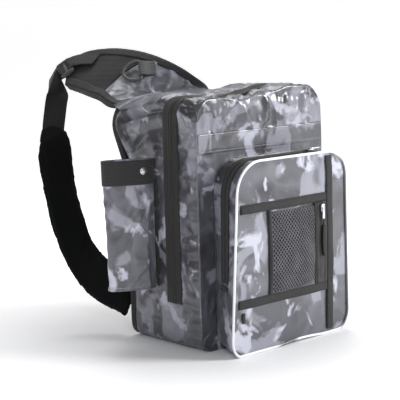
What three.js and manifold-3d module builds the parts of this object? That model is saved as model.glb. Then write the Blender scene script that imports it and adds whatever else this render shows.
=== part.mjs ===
import * as THREE from "three";
import { mergeVertices } from "three/addons/utils/BufferGeometryUtils.js";
import Module from "manifold-3d";

// A tackle sling bag standing on its base: millimetres, +Z up, front towards -Y.
// The origin is the middle of the main body's base on the ground.

const wasm = await Module();
wasm.setup();

// Main body
const bodyWidth = 274;
const bodyDepth = 156;
const bodyHeight = 389;
const fabricWall = 2.4;
const seamGap = 0.3;
const frontCornerTop = 28;
const frontCornerBottom = 22;
const rearCornerLeft = 75;
const rightBulge = 9;
const gatherRelief = 4;
const rearPull = 52;

// Front panel strips
const yokeSeamDrop = 52;
const stripHeight = 30;
const stripCloth = 1.4;

// Front pocket
const pocketDepth = 60;
const pocketHeight = 295;
const pocketCrown = 4;
const pocketBottomLift = 6;
const pipingRadius = 2;
const pocketBaseCorners = { bottomLeft: 28, topLeft: 52, topRight: 46, bottomRight: 36 };
const pocketFaceCorners = { bottomLeft: 27, topLeft: 46, topRight: 40, bottomRight: 35 };

// Webbing, tape and zips
const webbing = 1.6;
const bandWidth = 14;
const mainZipWidth = 33;
const mainZipInset = 44;
const mainZipFoot = 72;
const mainPullDrop = 22;
const pocketZipWidth = 20;
const pocketZipFoot = 108;
const pocketZipEnd = 90;

// Mesh pocket on the front pocket's face
const meshWidth = 108;
const meshHeight = 146;
const meshFoot = 76;
const bandOnNetHead = 4;
const bandOnNetFoot = 12;
const meshRight = 55;
const meshCloth = 1.2;
const meshBulge = 8;
const meshColumns = 6;
const meshRows = 7;
const meshStrand = 2.4;
const meshZipWidth = 25;
const meshPullLength = 24;
const pullCordLength = 9;
const gripLength = 50;

// Side sleeve for a rod or tool
const sleeveWidth = 82;
const sleeveHeight = 203;
const sleeveFoot = 93;
const sleeveTopThickness = 24;
const sleeveFootThickness = 31;
const sleeveAttach = 19;
const sleeveTurn = 0.415;
const sleeveWall = 2;
const sleeveBandHeight = 38;
const sleeveStripWidth = 8;
const snapDiameter = 12;

// Padded back, shoulder yoke and sling strap
const padEdge = 13;
const padCrown = 4;
const yokePad = 10;
const coverCloth = 1.4;
const bindingTape = 2;
const loopReach = 245;
const strapWebbingWidth = 38;
const strapWebbing = 2;
const strapPadThickness = 12;
const strapPadEdge = 7;
const dRingWire = 6;
const dRingWidth = 48;
const dRingLength = 38;
const buckleWidth = 48;
const buckleLength = 27;
const buckleThickness = 7;
const buckleBar = 4;
const dRingTab = 24;
const dRingPlay = 6;
const buckleTuck = 9;
const strapTuck = 7;

// Places on the yoke: shares from its root to the tip, and from the outer edge to the neck
const patchEdgeLeft = 0.27;
const patchEdgeNeck = 0.46;
const dRingAt = { u: 0.385, v: 0.68, turn: 0.7 };
const buckleNeck = 0.72;
const webbingRoot = 0.72;
const strapOverlap = 0.16;

const halfWidth = bodyWidth / 2;
const frontY = -bodyDepth / 2;
const backY = bodyDepth / 2;
const panelY = backY + seamGap;

// The crown line of the body's top edge, left to right.
const topWave = [
  { at: -1, rise: 0 },
  { at: -0.7, rise: 0.003 },
  { at: -0.3, rise: -0.012 },
  { at: -0.05, rise: -0.002 },
  { at: 0.2, rise: 0.012 },
  { at: 0.5, rise: 0.03 },
  { at: 0.75, rise: 0.026 },
  { at: 1, rise: 0 },
];

// Vertical gathers above the front seam: place, half width and height of each fold.
const gathers = [
  { at: -0.62, half: 0.12, high: 0.35 },
  { at: -0.26, half: 0.1, high: 0.8 },
  { at: 0.08, half: 0.11, high: 0.7 },
  { at: 0.31, half: 0.1, high: 1 },
  { at: 0.54, half: 0.1, high: 0.9 },
  { at: 0.7, half: 0.07, high: 1 },
];

// Yoke edges from the panel's shoulder to the tip: across in half widths,
// back in loop reaches behind the panel, up in body heights.
const yokeRows = [
  { leftX: -0.8, leftBack: 0.325, leftUp: 0.965, rightX: 0.235, rightBack: 0.035, rightUp: 1.024 },
  { leftX: -0.78, leftBack: 0.465, leftUp: 0.997, rightX: 0.06, rightBack: 0.115, rightUp: 1.085 },
  { leftX: -0.76, leftBack: 0.6, leftUp: 1.01, rightX: -0.08, rightBack: 0.29, rightUp: 1.14 },
  { leftX: -0.73, leftBack: 0.72, leftUp: 1.022, rightX: -0.12, rightBack: 0.53, rightUp: 1.17 },
  { leftX: -0.71, leftBack: 0.81, leftUp: 1.03, rightX: -0.15, rightBack: 0.8, rightUp: 1.178 },
  { leftX: -0.695, leftBack: 0.87, leftUp: 1.034, rightX: -0.29, rightBack: 0.98, rightUp: 1.16 },
  { leftX: -0.69, leftBack: 0.9, leftUp: 1.034, rightX: -0.45, rightBack: 1.05, rightUp: 1.11 },
];

// Sling strap from the buckle down to the panel's side, its outer and inner edge: across
// in half widths, back in loop reaches behind the padded back, up in body heights.
const strapRows = [
  { pad: 0, outX: -0.66, outBack: 1.01, outUp: 1.115, inX: -0.6, inBack: 0.975, inUp: 1.02 },
  { pad: 0, outX: -0.78, outBack: 1, outUp: 1.06, inX: -0.62, inBack: 0.94, inUp: 0.994 },
  { pad: 0, outX: -0.89, outBack: 0.978, outUp: 1.004, inX: -0.66, inBack: 0.905, inUp: 0.979 },
  { pad: 0, outX: -0.97, outBack: 0.964, outUp: 0.943, inX: -0.69, inBack: 0.886, inUp: 0.956 },
  { pad: 0.45, outX: -1.1, outBack: 0.898, outUp: 0.85, inX: -0.77, inBack: 0.846, inUp: 0.88 },
  { pad: 1, outX: -1.23, outBack: 0.839, outUp: 0.785, inX: -0.78, inBack: 0.789, inUp: 0.763 },
  { pad: 1, outX: -1.27, outBack: 0.833, outUp: 0.722, inX: -0.79, inBack: 0.763, inUp: 0.704 },
  { pad: 1, outX: -1.3, outBack: 0.776, outUp: 0.64, inX: -0.815, inBack: 0.728, inUp: 0.624 },
  { pad: 1, outX: -1.335, outBack: 0.705, outUp: 0.547, inX: -0.86, inBack: 0.649, inUp: 0.537 },
  { pad: 1, outX: -1.33, outBack: 0.658, outUp: 0.44, inX: -0.89, inBack: 0.57, inUp: 0.475 },
  { pad: 1, outX: -1.28, outBack: 0.557, outUp: 0.303, inX: -0.93, inBack: 0.43, inUp: 0.365 },
  { pad: 1, outX: -1.17, outBack: 0.411, outUp: 0.167, inX: -0.97, inBack: 0.253, inUp: 0.314 },
  { pad: 1, outX: -1.08, outBack: 0.262, outUp: 0.11, inX: -0.965, inBack: 0.126, inUp: 0.275 },
  { pad: 1, outX: -1.0, outBack: 0.128, outUp: 0.08, inX: -0.945, inBack: 0.053, inUp: 0.252 },
  { pad: 1, outX: -0.94, outBack: 0, outUp: 0.055, inX: -0.93, inBack: 0, inUp: 0.225 },
];

const shades = {
  camo: { color: 0x6b6e78, roughness: 0.42, metalness: 0 },
  webbing: { color: 0x2b2b2a, roughness: 0.85, metalness: 0 },
  zipTape: { color: 0x302d2b, roughness: 0.7, metalness: 0 },
  airMesh: { color: 0x121315, roughness: 0.95, metalness: 0 },
  net: { color: 0x3a3a3e, roughness: 0.7, metalness: 0 },
  piping: { color: 0xdfe1e4, roughness: 0.35, metalness: 0 },
  plastic: { color: 0x1d1e20, roughness: 0.35, metalness: 0 },
  nickel: { color: 0xc2c4c8, roughness: 0.25, metalness: 1 },
  rubber: { color: 0x17181a, roughness: 0.6, metalness: 0 },
};

const bag = new THREE.Group();

function addPiece(name, geometry, shade) {
  const piece = new THREE.Mesh(geometry, new THREE.MeshStandardMaterial(shades[shade]));
  piece.name = name;
  bag.add(piece);
  return piece;
}

// Solids and meshes

function mergedPlaces(geometry) {
  const plain = geometry.clone();
  plain.deleteAttribute("normal");
  plain.deleteAttribute("uv");
  return mergeVertices(plain, 1e-3);
}

// A piece grown along its normals, to cut its neighbours clear of it.
const cornerReach = Math.sqrt(3);

function swollen(geometry, by) {
  const grown = mergedPlaces(geometry);
  grown.computeVertexNormals();
  const place = grown.attributes.position;
  const normal = grown.attributes.normal;
  for (let i = 0; i < place.count; i += 1) {
    const p = new THREE.Vector3().fromBufferAttribute(place, i);
    const n = new THREE.Vector3().fromBufferAttribute(normal, i);
    p.addScaledVector(n, by * cornerReach);
    place.setXYZ(i, p.x, p.y, p.z);
  }
  return toSolid(grown);
}

// A piece cut clear of its neighbours.
function clearOf(geometry, neighbours, gap = seamGap) {
  const cut = neighbours.reduce(
    (solid, other) => solid.subtract(swollen(other, gap)),
    toSolid(geometry),
  );
  return toGeometry(largest(cut));
}

function toSolid(geometry) {
  const merged = mergedPlaces(geometry);
  return new wasm.Manifold(
    new wasm.Mesh({
      numProp: 3,
      vertProperties: merged.attributes.position.array,
      triVerts: new Uint32Array(merged.index.array),
    }),
  );
}

function toGeometry(solid) {
  const mesh = solid.getMesh();
  const geometry = new THREE.BufferGeometry();
  geometry.setAttribute("position", new THREE.BufferAttribute(mesh.vertProperties, 3));
  geometry.setIndex(new THREE.BufferAttribute(mesh.triVerts, 1));
  geometry.computeVertexNormals();
  return geometry;
}

// The main body of a cut solid, without the thin offcuts.
function largest(solid) {
  return solid.decompose().reduce((best, part) => (part.volume() > best.volume() ? part : best));
}

function geometryOf(points, faces) {
  let sixVolumes = 0;
  for (const [a, b, c] of faces) {
    sixVolumes += points[a].dot(points[b].clone().cross(points[c]));
  }
  const index = faces.flatMap(([a, b, c]) => (sixVolumes > 0 ? [a, b, c] : [a, c, b]));
  const geometry = new THREE.BufferGeometry().setFromPoints(points);
  geometry.setIndex(index);
  geometry.computeVertexNormals();
  return geometry;
}

// A disc of triangles over one end ring.
function fanCap(points, first, count) {
  const middle = new THREE.Vector3();
  points.slice(first, first + count).forEach((p) => middle.addScaledVector(p, 1 / count));
  points.push(middle);
  const top = points.length - 1;
  return Array.from({ length: count }, (_, i) => [first + i, first + ((i + 1) % count), top]);
}

// The end of a slab, whose ring runs along its near side and back along its far side.
function slabCap(points, first, count) {
  const faces = [];
  for (let i = 0; i < count / 2 - 1; i += 1) {
    const [a, b, c, d] = [i, i + 1, count - 2 - i, count - 1 - i].map((k) => first + k);
    faces.push([a, b, c], [a, c, d]);
  }
  return faces;
}

// Rings of equal point count joined one to the next and capped, or with the last
// ring joined to the first.
function loft(rings, cap = fanCap) {
  const count = rings[0].length;
  const points = rings.flat();
  const faces = [];
  const joins = cap ? rings.length - 1 : rings.length;
  for (let r = 0; r < joins; r += 1) {
    const next = (r + 1) % rings.length;
    for (let i = 0; i < count; i += 1) {
      const j = (i + 1) % count;
      faces.push([r * count + i, r * count + j, next * count + j]);
      faces.push([r * count + i, next * count + j, next * count + i]);
    }
  }
  if (cap) {
    faces.push(...cap(points, 0, count).map(([a, b, c]) => [b, a, c]));
    faces.push(...cap(points, (rings.length - 1) * count, count));
  }
  return geometryOf(points, faces);
}

function box(x0, x1, y0, y1, z0, z1) {
  const geometry = new THREE.BoxGeometry(x1 - x0, y1 - y0, z1 - z0);
  return geometry.translate((x0 + x1) / 2, (y0 + y1) / 2, (z0 + z1) / 2);
}

// A flat XZ outline thickened towards -Y and laid on a surface y = lie(x, z).
function draped(shape, thickness, lie) {
  const geometry = new THREE.ExtrudeGeometry(shape, { depth: thickness, bevelEnabled: false });
  const place = geometry.attributes.position;
  for (let i = 0; i < place.count; i += 1) {
    const x = place.getX(i);
    const z = place.getY(i);
    place.setXYZ(i, x, lie(x, z) - seamGap - place.getZ(i), z);
  }
  return geometry;
}

// A rectangular strip of cloth laid on a surface y = lie(x, z).
function drapedStrip(x0, x1, z0, z1, thickness, lie, acrossSteps, upSteps) {
  const rings = [];
  for (let r = 0; r <= upSteps; r += 1) {
    const z = lerp(z0, z1, r / upSteps);
    const xs = Array.from({ length: acrossSteps + 1 }, (_, i) => lerp(x0, x1, i / acrossSteps));
    const near = xs.map((x) => new THREE.Vector3(x, lie(x, z) - seamGap, z));
    const far = xs.map((x) => new THREE.Vector3(x, lie(x, z) - seamGap - thickness, z));
    rings.push([...near, ...far.reverse()]);
  }
  return loft(rings, slabCap);
}

// A flat rectangle with round corners about the origin.
function roundedPlate(halfX, halfY, radius) {
  const points = [];
  for (const [sx, sy, first] of [[1, 1, 0], [-1, 1, 1], [-1, -1, 2], [1, -1, 3]]) {
    for (let i = 0; i <= 3; i += 1) {
      const turn = ((first + i / 3) * Math.PI) / 2;
      const x = sx * (halfX - radius) + radius * Math.cos(turn);
      const y = sy * (halfY - radius) + radius * Math.sin(turn);
      points.push(new THREE.Vector2(x, y));
    }
  }
  return new THREE.Shape(points);
}

function rectangle(x0, x1, z0, z1, steps = 8) {
  const shape = new THREE.Shape();
  shape.moveTo(x0, z0);
  for (let i = 1; i <= steps; i += 1) shape.lineTo(lerp(x0, x1, i / steps), z0);
  for (let i = 1; i <= steps; i += 1) shape.lineTo(x1, lerp(z0, z1, i / steps));
  for (let i = 1; i <= steps; i += 1) shape.lineTo(lerp(x1, x0, i / steps), z1);
  for (let i = 1; i < steps; i += 1) shape.lineTo(x0, lerp(z1, z0, i / steps));
  shape.closePath();
  return shape;
}

// A flat ribbon swept along points, its width along the given directions.
function ribbon(path, across, width, thickness) {
  const rings = path.map((p, i) => {
    const before = path[Math.max(i - 1, 0)];
    const after = path[Math.min(i + 1, path.length - 1)];
    const along = after.clone().sub(before).normalize();
    const side = across[i].clone().addScaledVector(along, -across[i].dot(along)).normalize();
    const face = along.clone().cross(side);
    return [[1, 1], [-1, 1], [-1, -1], [1, -1]].map(([s, f]) =>
      p.clone().addScaledVector(side, (s * width) / 2).addScaledVector(face, (f * thickness) / 2),
    );
  });
  return loft(rings, slabCap);
}

// A round cord swept along points, closed into a loop or with flat ends.
function cord(path, radius, sides, closed) {
  const count = path.length;
  const curve = new THREE.CatmullRomCurve3(path, closed);
  const frames = curve.computeFrenetFrames(count - (closed ? 0 : 1), closed);
  const rings = path.map((p, i) =>
    Array.from({ length: sides }, (_, k) => {
      const turn = ((k + 0.5) / sides) * 2 * Math.PI;
      return p
        .clone()
        .addScaledVector(frames.normals[i], Math.cos(turn) * radius)
        .addScaledVector(frames.binormals[i], Math.sin(turn) * radius);
    }),
  );
  return loft(rings, closed ? null : fanCap);
}

// A round wire along points in the XY plane, closed into a flat loop.
function flatLoop(path, radius, sides) {
  const count = path.length;
  const up = new THREE.Vector3(0, 0, 1);
  const rings = path.map((p, i) => {
    const ahead = path[(i + 1) % count].clone().sub(path[(i + count - 1) % count]);
    const side = up.clone().cross(ahead).normalize();
    return Array.from({ length: sides }, (_, k) => {
      const turn = ((k + 0.5) / sides) * 2 * Math.PI;
      const point = p.clone().addScaledVector(side, Math.cos(turn) * radius);
      return point.addScaledVector(up, Math.sin(turn) * radius);
    });
  });
  return loft(rings, null);
}

function lerp(a, b, t) {
  return a + (b - a) * t;
}

function smooth(t) {
  return THREE.MathUtils.smoothstep(t, 0, 1);
}

// The value of one column of a table at a place, eased between its rows.
function column(table, name, at) {
  const last = table.length - 1;
  if (at <= table[0].at) return table[0][name];
  if (at >= table[last].at) return table[last][name];
  const i = table.findIndex((row) => row.at >= at);
  const share = (at - table[i - 1].at) / (table[i].at - table[i - 1].at);
  return lerp(table[i - 1][name], table[i][name], smooth(share));
}

// Outlines

const cornerSteps = 4;
const sideSteps = [6, 12, 7, 5];

// Four corners in the order bottom left, top left, top right, bottom right,
// rounded, with the same number of points whatever the sizes.
function roundedOutline(corners) {
  const outline = [];
  corners.forEach((corner, k) => {
    const at = new THREE.Vector2(corner.x, corner.z);
    const previous = corners[(k + 3) % 4];
    const next = corners[(k + 1) % 4];
    const toPrevious = new THREE.Vector2(previous.x, previous.z).sub(at).normalize();
    const toNext = new THREE.Vector2(next.x, next.z).sub(at).normalize();
    for (let i = 0; i <= cornerSteps; i += 1) {
      const turn = ((i / cornerSteps) * Math.PI) / 2;
      const p = at
        .clone()
        .addScaledVector(toPrevious, corner.r * (1 - Math.sin(turn)))
        .addScaledVector(toNext, corner.r * (1 - Math.cos(turn)));
      outline.push(p);
    }
    const start = outline[outline.length - 1];
    const nextAt = new THREE.Vector2(next.x, next.z);
    const end = nextAt.addScaledVector(toNext, -next.r);
    for (let i = 1; i < sideSteps[k]; i += 1) {
      outline.push(start.clone().lerp(end, i / sideSteps[k]));
    }
  });
  return outline;
}

// The same outline moved inwards by a distance.
function inset(outline, distance) {
  const count = outline.length;
  return outline.map((p, i) => {
    const before = outline[(i + count - 1) % count];
    const after = outline[(i + 1) % count];
    const along = after.clone().sub(before).normalize();
    return new THREE.Vector2(p.x + along.y * distance, p.y - along.x * distance);
  });
}

// Main body: rings from the front panel's middle to the rear rim and back inside

function plainOutline(depthShare) {
  const leftTop = lerp(frontCornerTop, rearCornerLeft, smooth((depthShare - 0.55) / 0.45));
  return roundedOutline([
    { x: -halfWidth, z: 0, r: frontCornerBottom },
    { x: -halfWidth, z: bodyHeight, r: leftTop },
    { x: halfWidth, z: bodyHeight, r: frontCornerTop },
    { x: halfWidth, z: 0, r: frontCornerBottom },
  ]);
}

// The plain outline with the top edge's wave and the filled right shoulder.
function bodyOutline(depthShare) {
  const outline = plainOutline(depthShare);
  const middle = Math.sin(Math.PI * Math.min(depthShare * 1.15, 1)) * 0.6 + 0.4;
  const waveFade = 1 - smooth((depthShare - 0.8) / 0.15);
  return outline.map((p) => {
    const high = smooth((p.y / bodyHeight - 0.8) / 0.2);
    const rise = column(topWave, "rise", p.x / halfWidth) * bodyHeight * high * waveFade;
    const shoulder = Math.exp(-(((p.y / bodyHeight - 0.78) / 0.2) ** 2));
    const right = smooth(p.x / halfWidth) * shoulder * rightBulge * middle * waveFade;
    return new THREE.Vector2(p.x + right, p.y + rise);
  });
}

// How far the panel's upper left shoulder is drawn back by the yoke.
function pullBack(x, z) {
  const up = smooth((z / bodyHeight - 0.7) / 0.24);
  const left = smooth((-x / halfWidth + 0.1) / 1.05);
  return rearPull * up * left;
}

function frontSurface(x, z) {
  const seam = bodyHeight - yokeSeamDrop;
  const above = (z - seam) / yokeSeamDrop;
  const edge = 1 - smooth((Math.abs(x) / halfWidth - 0.74) / 0.1);
  const strip = edge * smooth(above / 0.2) * (1 - smooth((above - 0.75) / 0.25));
  const folds = gathers.reduce((sum, fold) => {
    const off = (x / halfWidth - fold.at) / fold.half;
    return sum + fold.high * Math.exp(-off * off);
  }, 0);
  return frontY - gatherRelief * folds * strip;
}

function bodyRing(depth, insetBy) {
  const share = depth / bodyDepth;
  const outline = inset(bodyOutline(share), insetBy);
  const back = smooth((share - 0.5) / 0.5);
  return outline.map(
    (p) => new THREE.Vector3(p.x, frontY + depth + pullBack(p.x, p.y) * back, p.y),
  );
}

// Face rings from the horizontal seam up to the edge carry the gathers and the wave.
const seamScale = 1 - (2 * yokeSeamDrop) / bodyHeight;
const foldScales = [0, 0.25, 0.55, 0.85].map((t) => lerp(seamScale, 1, t));

function faceRings(insetBy, scales, surface) {
  const plain = inset(plainOutline(0), insetBy);
  const waved = inset(bodyOutline(0), insetBy);
  return scales.map((scale) => {
    const wave = Math.max(scale - seamScale, 0) / (1 - seamScale);
    return plain.map((p, i) => {
      const x = p.x * scale + (waved[i].x - p.x) * wave;
      const z = lerp(bodyHeight / 2, p.y, scale) + (waved[i].y - p.y) * wave;
      return new THREE.Vector3(x, surface(x, z), z);
    });
  });
}

function mainShell() {
  const outerDepths = [0, 0.12, 0.3, 0.5, 0.72, 0.88, 1];
  const innerDepths = [1, 0.88, 0.5];
  return loft([
    ...faceRings(0, [0.4, ...foldScales], frontSurface),
    ...outerDepths.map((share) => bodyRing(share * bodyDepth, 0)),
    ...innerDepths.map((share) => bodyRing(share * bodyDepth, fabricWall)),
    bodyRing(fabricWall, fabricWall),
    ...faceRings(fabricWall, [0.87, 0.6], (x, z) => frontSurface(x, z) + fabricWall),
  ]);
}

// The zip's channel over the left, the top and the right of the gusset.
function zipChannel(from, to, foot, side, roof) {
  const reach = bodyWidth;
  return toSolid(box(-reach, -side, from, to, foot, 2 * bodyHeight))
    .add(toSolid(box(side, reach, from, to, foot, 2 * bodyHeight)))
    .add(toSolid(box(-reach, reach, from, to, roof, 2 * bodyHeight)));
}

const zipFrom = frontY + mainZipInset;
const zipTo = zipFrom + mainZipWidth;
const zipSide = halfWidth / 2;
const zipRoof = bodyHeight * 0.9;

function mainBody() {
  const shell = toSolid(mainShell());
  const channel = zipChannel(zipFrom, zipTo, mainZipFoot, zipSide, zipRoof);
  const tape = zipChannel(
    zipFrom + seamGap,
    zipTo - seamGap,
    mainZipFoot + seamGap,
    zipSide,
    zipRoof,
  );
  const body = toGeometry(shell.subtract(channel));
  addPiece("main_shell", body, "camo");
  addPiece("main_zip", toGeometry(shell.intersect(tape)), "zipTape");
  return body;
}

// A plain slider parked at the zip's far end, low on the right side.
function mainSlider() {
  const middle = (zipFrom + zipTo) / 2;
  const foot = mainZipFoot + 14;
  const pullEnd = foot - mainPullDrop;
  const wall = halfWidth + seamGap;
  const body = toSolid(box(wall, wall + 3.5, middle - 5, middle + 5, foot, foot + 13));
  const pull = toSolid(box(wall + 3.2, wall + 5, middle - 3, middle + 3, pullEnd, foot + 8));
  const eye = toSolid(box(wall + 1, wall + 7, middle - 1.6, middle + 1.6, pullEnd + 3, pullEnd + 8));
  addPiece("main_zip_slider", toGeometry(body.add(pull).subtract(eye)), "nickel");
}

function frontStrip(body, pocketBody) {
  const seam = bodyHeight - yokeSeamDrop;
  const right = halfWidth + rightBulge * 0.3;
  const foot = seam - stripHeight;
  const strip = drapedStrip(-halfWidth + 1, right, foot, seam, stripCloth, () => frontY, 4, 2);
  addPiece("front_strip", clearOf(strip, [body, pocketBody]), "camo");
}

// Front pocket: a rounded tray standing off the front panel

// The straight left wall's place at a height, from the base (0) to the face (1).
function pocketLeft(share, z) {
  return lerp(lerp(-0.765, -0.955, share), lerp(-0.765, -0.81, share), z / pocketHeight) * halfWidth;
}

function pocketOutline(share) {
  const radius = (corner) => lerp(pocketBaseCorners[corner], pocketFaceCorners[corner], share);
  const outline = roundedOutline([
    { x: pocketLeft(share, 0), z: 0, r: radius("bottomLeft") },
    { x: pocketLeft(share, pocketHeight), z: pocketHeight, r: radius("topLeft") },
    { x: lerp(0.9, 0.93, share) * halfWidth, z: pocketHeight, r: radius("topRight") },
    { x: lerp(0.93, 0.965, share) * halfWidth, z: 0, r: radius("bottomRight") },
  ]);
  return outline.map((p) => {
    const low = 1 - smooth(p.y / (pocketHeight * 0.12));
    const across = Math.cos((Math.min(Math.abs(p.x / halfWidth - 0.15), 0.75) / 0.75) * Math.PI);
    return new THREE.Vector2(p.x, p.y + (pocketBottomLift * low * (1 + across)) / 2);
  });
}

function pocketFace(x, z) {
  const across = 1 - Math.min(((x / halfWidth) / 0.95) ** 2, 1);
  const up = 1 - Math.min((z / pocketHeight / 0.5 - 1) ** 2, 1);
  return frontY - pocketDepth - pocketCrown * across * up;
}

function pocketRing(depth, insetBy) {
  const outline = inset(pocketOutline(depth / pocketDepth), insetBy);
  return outline.map((p) => new THREE.Vector3(p.x, frontY - seamGap - depth, p.y));
}

function pocketFaceRings(edge, scales, behind) {
  return scales.map((scale) =>
    edge.map((p) => {
      const x = p.x * scale;
      const z = lerp(pocketHeight / 2, p.z, scale);
      return new THREE.Vector3(x, pocketFace(x, z) + behind, z);
    }),
  );
}

const pocketEdge = pocketRing(pocketDepth, 0);

function pocketPiping(radius) {
  const proud = pipingRadius * 0.4;
  const path = inset(pocketEdge.map((p) => new THREE.Vector2(p.x, p.z)), -proud).map(
    (p, i) => new THREE.Vector3(p.x, pocketEdge[i].y - proud, Math.max(p.y, pipingRadius + 0.4)),
  );
  return cord(path, radius, 6, true);
}

function pocket() {
  const inner = pocketRing(pocketDepth - fabricWall, fabricWall);
  const depths = [1, 0.67, 0.33];
  const shell = toSolid(
    loft([
      ...pocketFaceRings(pocketEdge, [0.35, 0.7, 0.92], 0),
      ...depths.map((share) => pocketRing(share * pocketDepth, 0)),
      pocketRing(0, 0),
      pocketRing(0, fabricWall),
      ...[0.33, 0.67].map((share) => pocketRing(share * pocketDepth, fabricWall)),
      inner,
      ...pocketFaceRings(inner, [0.8, 0.4], fabricWall),
    ]),
  );
  const from = frontY - (pocketDepth + pocketZipWidth) / 2;
  const channel = (gap) => {
    const y0 = from + gap;
    const y1 = from + pocketZipWidth - gap;
    const side = box(-halfWidth, -halfWidth / 2, y0, y1, pocketZipFoot + gap, 2 * pocketHeight);
    const roof = box(-halfWidth, pocketZipEnd - gap, y0, y1, pocketHeight * 0.88, 2 * pocketHeight);
    return toSolid(side).add(toSolid(roof));
  };
  const cut = shell.subtract(channel(0)).subtract(toSolid(pocketPiping(pipingRadius + seamGap)));
  const body = toGeometry(cut);
  addPiece("pocket_shell", body, "camo");
  addPiece("pocket_zip", toGeometry(shell.intersect(channel(seamGap))), "zipTape");
  addPiece("pocket_piping", pocketPiping(pipingRadius), "piping");
  return { from, body };
}

function pocketSlider(from) {
  const middle = from + pocketZipWidth / 2;
  const foot = pocketHeight + seamGap + 0.4;
  const right = pocketZipEnd - 4;
  const body = toSolid(box(right - 12, right, middle - 4.5, middle + 4.5, foot, foot + 3.4));
  const pull = toSolid(box(right - 6, right + 19, middle - 2.6, middle + 2.6, foot + 3.1, foot + 4.8));
  addPiece("pocket_zip_slider", toGeometry(body.add(pull)), "nickel");
}

// A folded webbing tab that closes the pocket zip's lower end.
function pocketZipTab(from) {
  const drop = 7;
  const z = pocketZipFoot - 1.5;
  const wallX = (y) => pocketLeft((frontY - y) / pocketDepth, z);
  const y0 = from - 2;
  const y1 = from + pocketZipWidth + 2;
  const ring = (height) => [
    new THREE.Vector3(wallX(y0) - seamGap - 0.4, y0, height),
    new THREE.Vector3(wallX(y1) - seamGap - 0.4, y1, height),
    new THREE.Vector3(wallX(y1) - 2 * webbing, y1, height),
    new THREE.Vector3(wallX(y0) - 2 * webbing, y0, height),
  ];
  addPiece("pocket_zip_tab", loft([ring(z - drop), ring(z)]), "webbing");
}

// Bands, mesh pocket and zip on the pocket's face

const bandRight = meshRight + meshZipWidth + 0.6;
const bandLeft = -0.79 * halfWidth;

function faceBands() {
  const upper = meshFoot + meshHeight;
  const upperFoot = upper - bandOnNetHead;
  addPiece(
    "band_upper",
    drapedStrip(bandLeft, bandRight, upperFoot, upperFoot + bandWidth, webbing, pocketFace, 10, 1),
    "webbing",
  );
  addPiece(
    "band_lower",
    drapedStrip(
      bandLeft - 8,
      bandRight,
      meshFoot - bandWidth + bandOnNetFoot,
      meshFoot + bandOnNetFoot,
      webbing,
      pocketFace,
      10,
      1,
    ),
    "webbing",
  );
  addPiece(
    "band_vertical",
    drapedStrip(
      bandRight + seamGap,
      bandRight + seamGap + bandWidth,
      9,
      pocketHeight - 5,
      webbing,
      pocketFace,
      1,
      12,
    ),
    "webbing",
  );
}

function meshPocket() {
  const foot = meshFoot + bandOnNetFoot + seamGap;
  const head = meshFoot + meshHeight - bandOnNetHead - seamGap;
  const left = meshRight - meshWidth;
  const border = 5;
  const shape = rectangle(left, meshRight - seamGap, foot, head, 6);
  const cellX = (meshWidth - 2 * border) / meshColumns;
  const cellZ = (head - foot - 2 * border) / meshRows;
  for (let c = 0; c < meshColumns; c += 1) {
    for (let r = 0; r < meshRows; r += 1) {
      const x = left + border + (c + 0.5) * cellX;
      const z = foot + border + (r + 0.5) * cellZ;
      const halfX = cellX / 2 - meshStrand / 2;
      const halfZ = cellZ / 2 - meshStrand / 2;
      const hole = new THREE.Path();
      hole.moveTo(x - halfX, z);
      hole.lineTo(x, z + halfZ);
      hole.lineTo(x + halfX, z);
      hole.lineTo(x, z - halfZ);
      hole.closePath();
      shape.holes.push(hole);
    }
  }
  const bulge = (x, z) => {
    const across = Math.sin(Math.PI * THREE.MathUtils.clamp((x - left) / meshWidth, 0, 1));
    const up = Math.sin(Math.PI * THREE.MathUtils.clamp((z - foot) / (head - foot), 0, 1));
    return pocketFace(x, z) - meshBulge * Math.sqrt(Math.max(across * up, 0));
  };
  addPiece("mesh_panel", draped(shape, meshCloth, bulge), "net");
  const zipRight = meshRight + meshZipWidth;
  const zip = drapedStrip(meshRight, zipRight, foot, head, webbing, pocketFace, 2, 6);
  addPiece("mesh_zip", zip, "zipTape");
  return { foot, head };
}

// Slider, cord and grip hanging on the mesh pocket's zip.
function meshSlider(head) {
  const x = meshRight + meshZipWidth * 0.52;
  const face = pocketFace(x, head) - seamGap - webbing - seamGap - 0.8;
  const top = head - 3;
  const body = toSolid(box(x - 4, x + 4, face - 3, face, top - 12, top));
  const pull = toSolid(box(x - 2.5, x + 2.5, face - 4.4, face - 2.8, top - meshPullLength, top - 4));
  addPiece("mesh_zip_slider", toGeometry(body.add(pull)), "nickel");
  const cordTop = top - meshPullLength - seamGap;
  const gripTop = cordTop - pullCordLength;
  const middle = face - 3.6;
  const path = [0, 0.5, 1].map((t) => new THREE.Vector3(x, middle, lerp(cordTop, gripTop, t)));
  addPiece("zip_pull_cord", cord(path, 1.1, 8, false), "rubber");
  const grip = new THREE.Shape();
  const length = gripLength;
  grip.moveTo(-2.6, 0);
  grip.quadraticCurveTo(-3.2, -6, -3.6, -length * 0.5);
  grip.quadraticCurveTo(-3.8, -length, 0, -length);
  grip.quadraticCurveTo(3.8, -length, 3.6, -length * 0.5);
  grip.quadraticCurveTo(3.2, -6, 2.6, 0);
  grip.closePath();
  const solid = new THREE.ExtrudeGeometry(grip, { depth: 4, bevelEnabled: false, curveSegments: 4 });
  solid.rotateX(Math.PI / 2);
  solid.translate(x, middle + 2, gripTop - seamGap);
  addPiece("zip_pull_grip", solid, "rubber");
}

// A short bare tab sewn under the lower band at the piping.
function nameTab() {
  const z = meshFoot - 8;
  const tab = drapedStrip(bandLeft - 2, bandLeft + 4, z - 16, z, webbing, pocketFace, 1, 1);
  addPiece("side_tab", tab, "webbing");
}

// Side sleeve: a flattened tube, open at both ends, held by a strip of webbing

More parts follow.
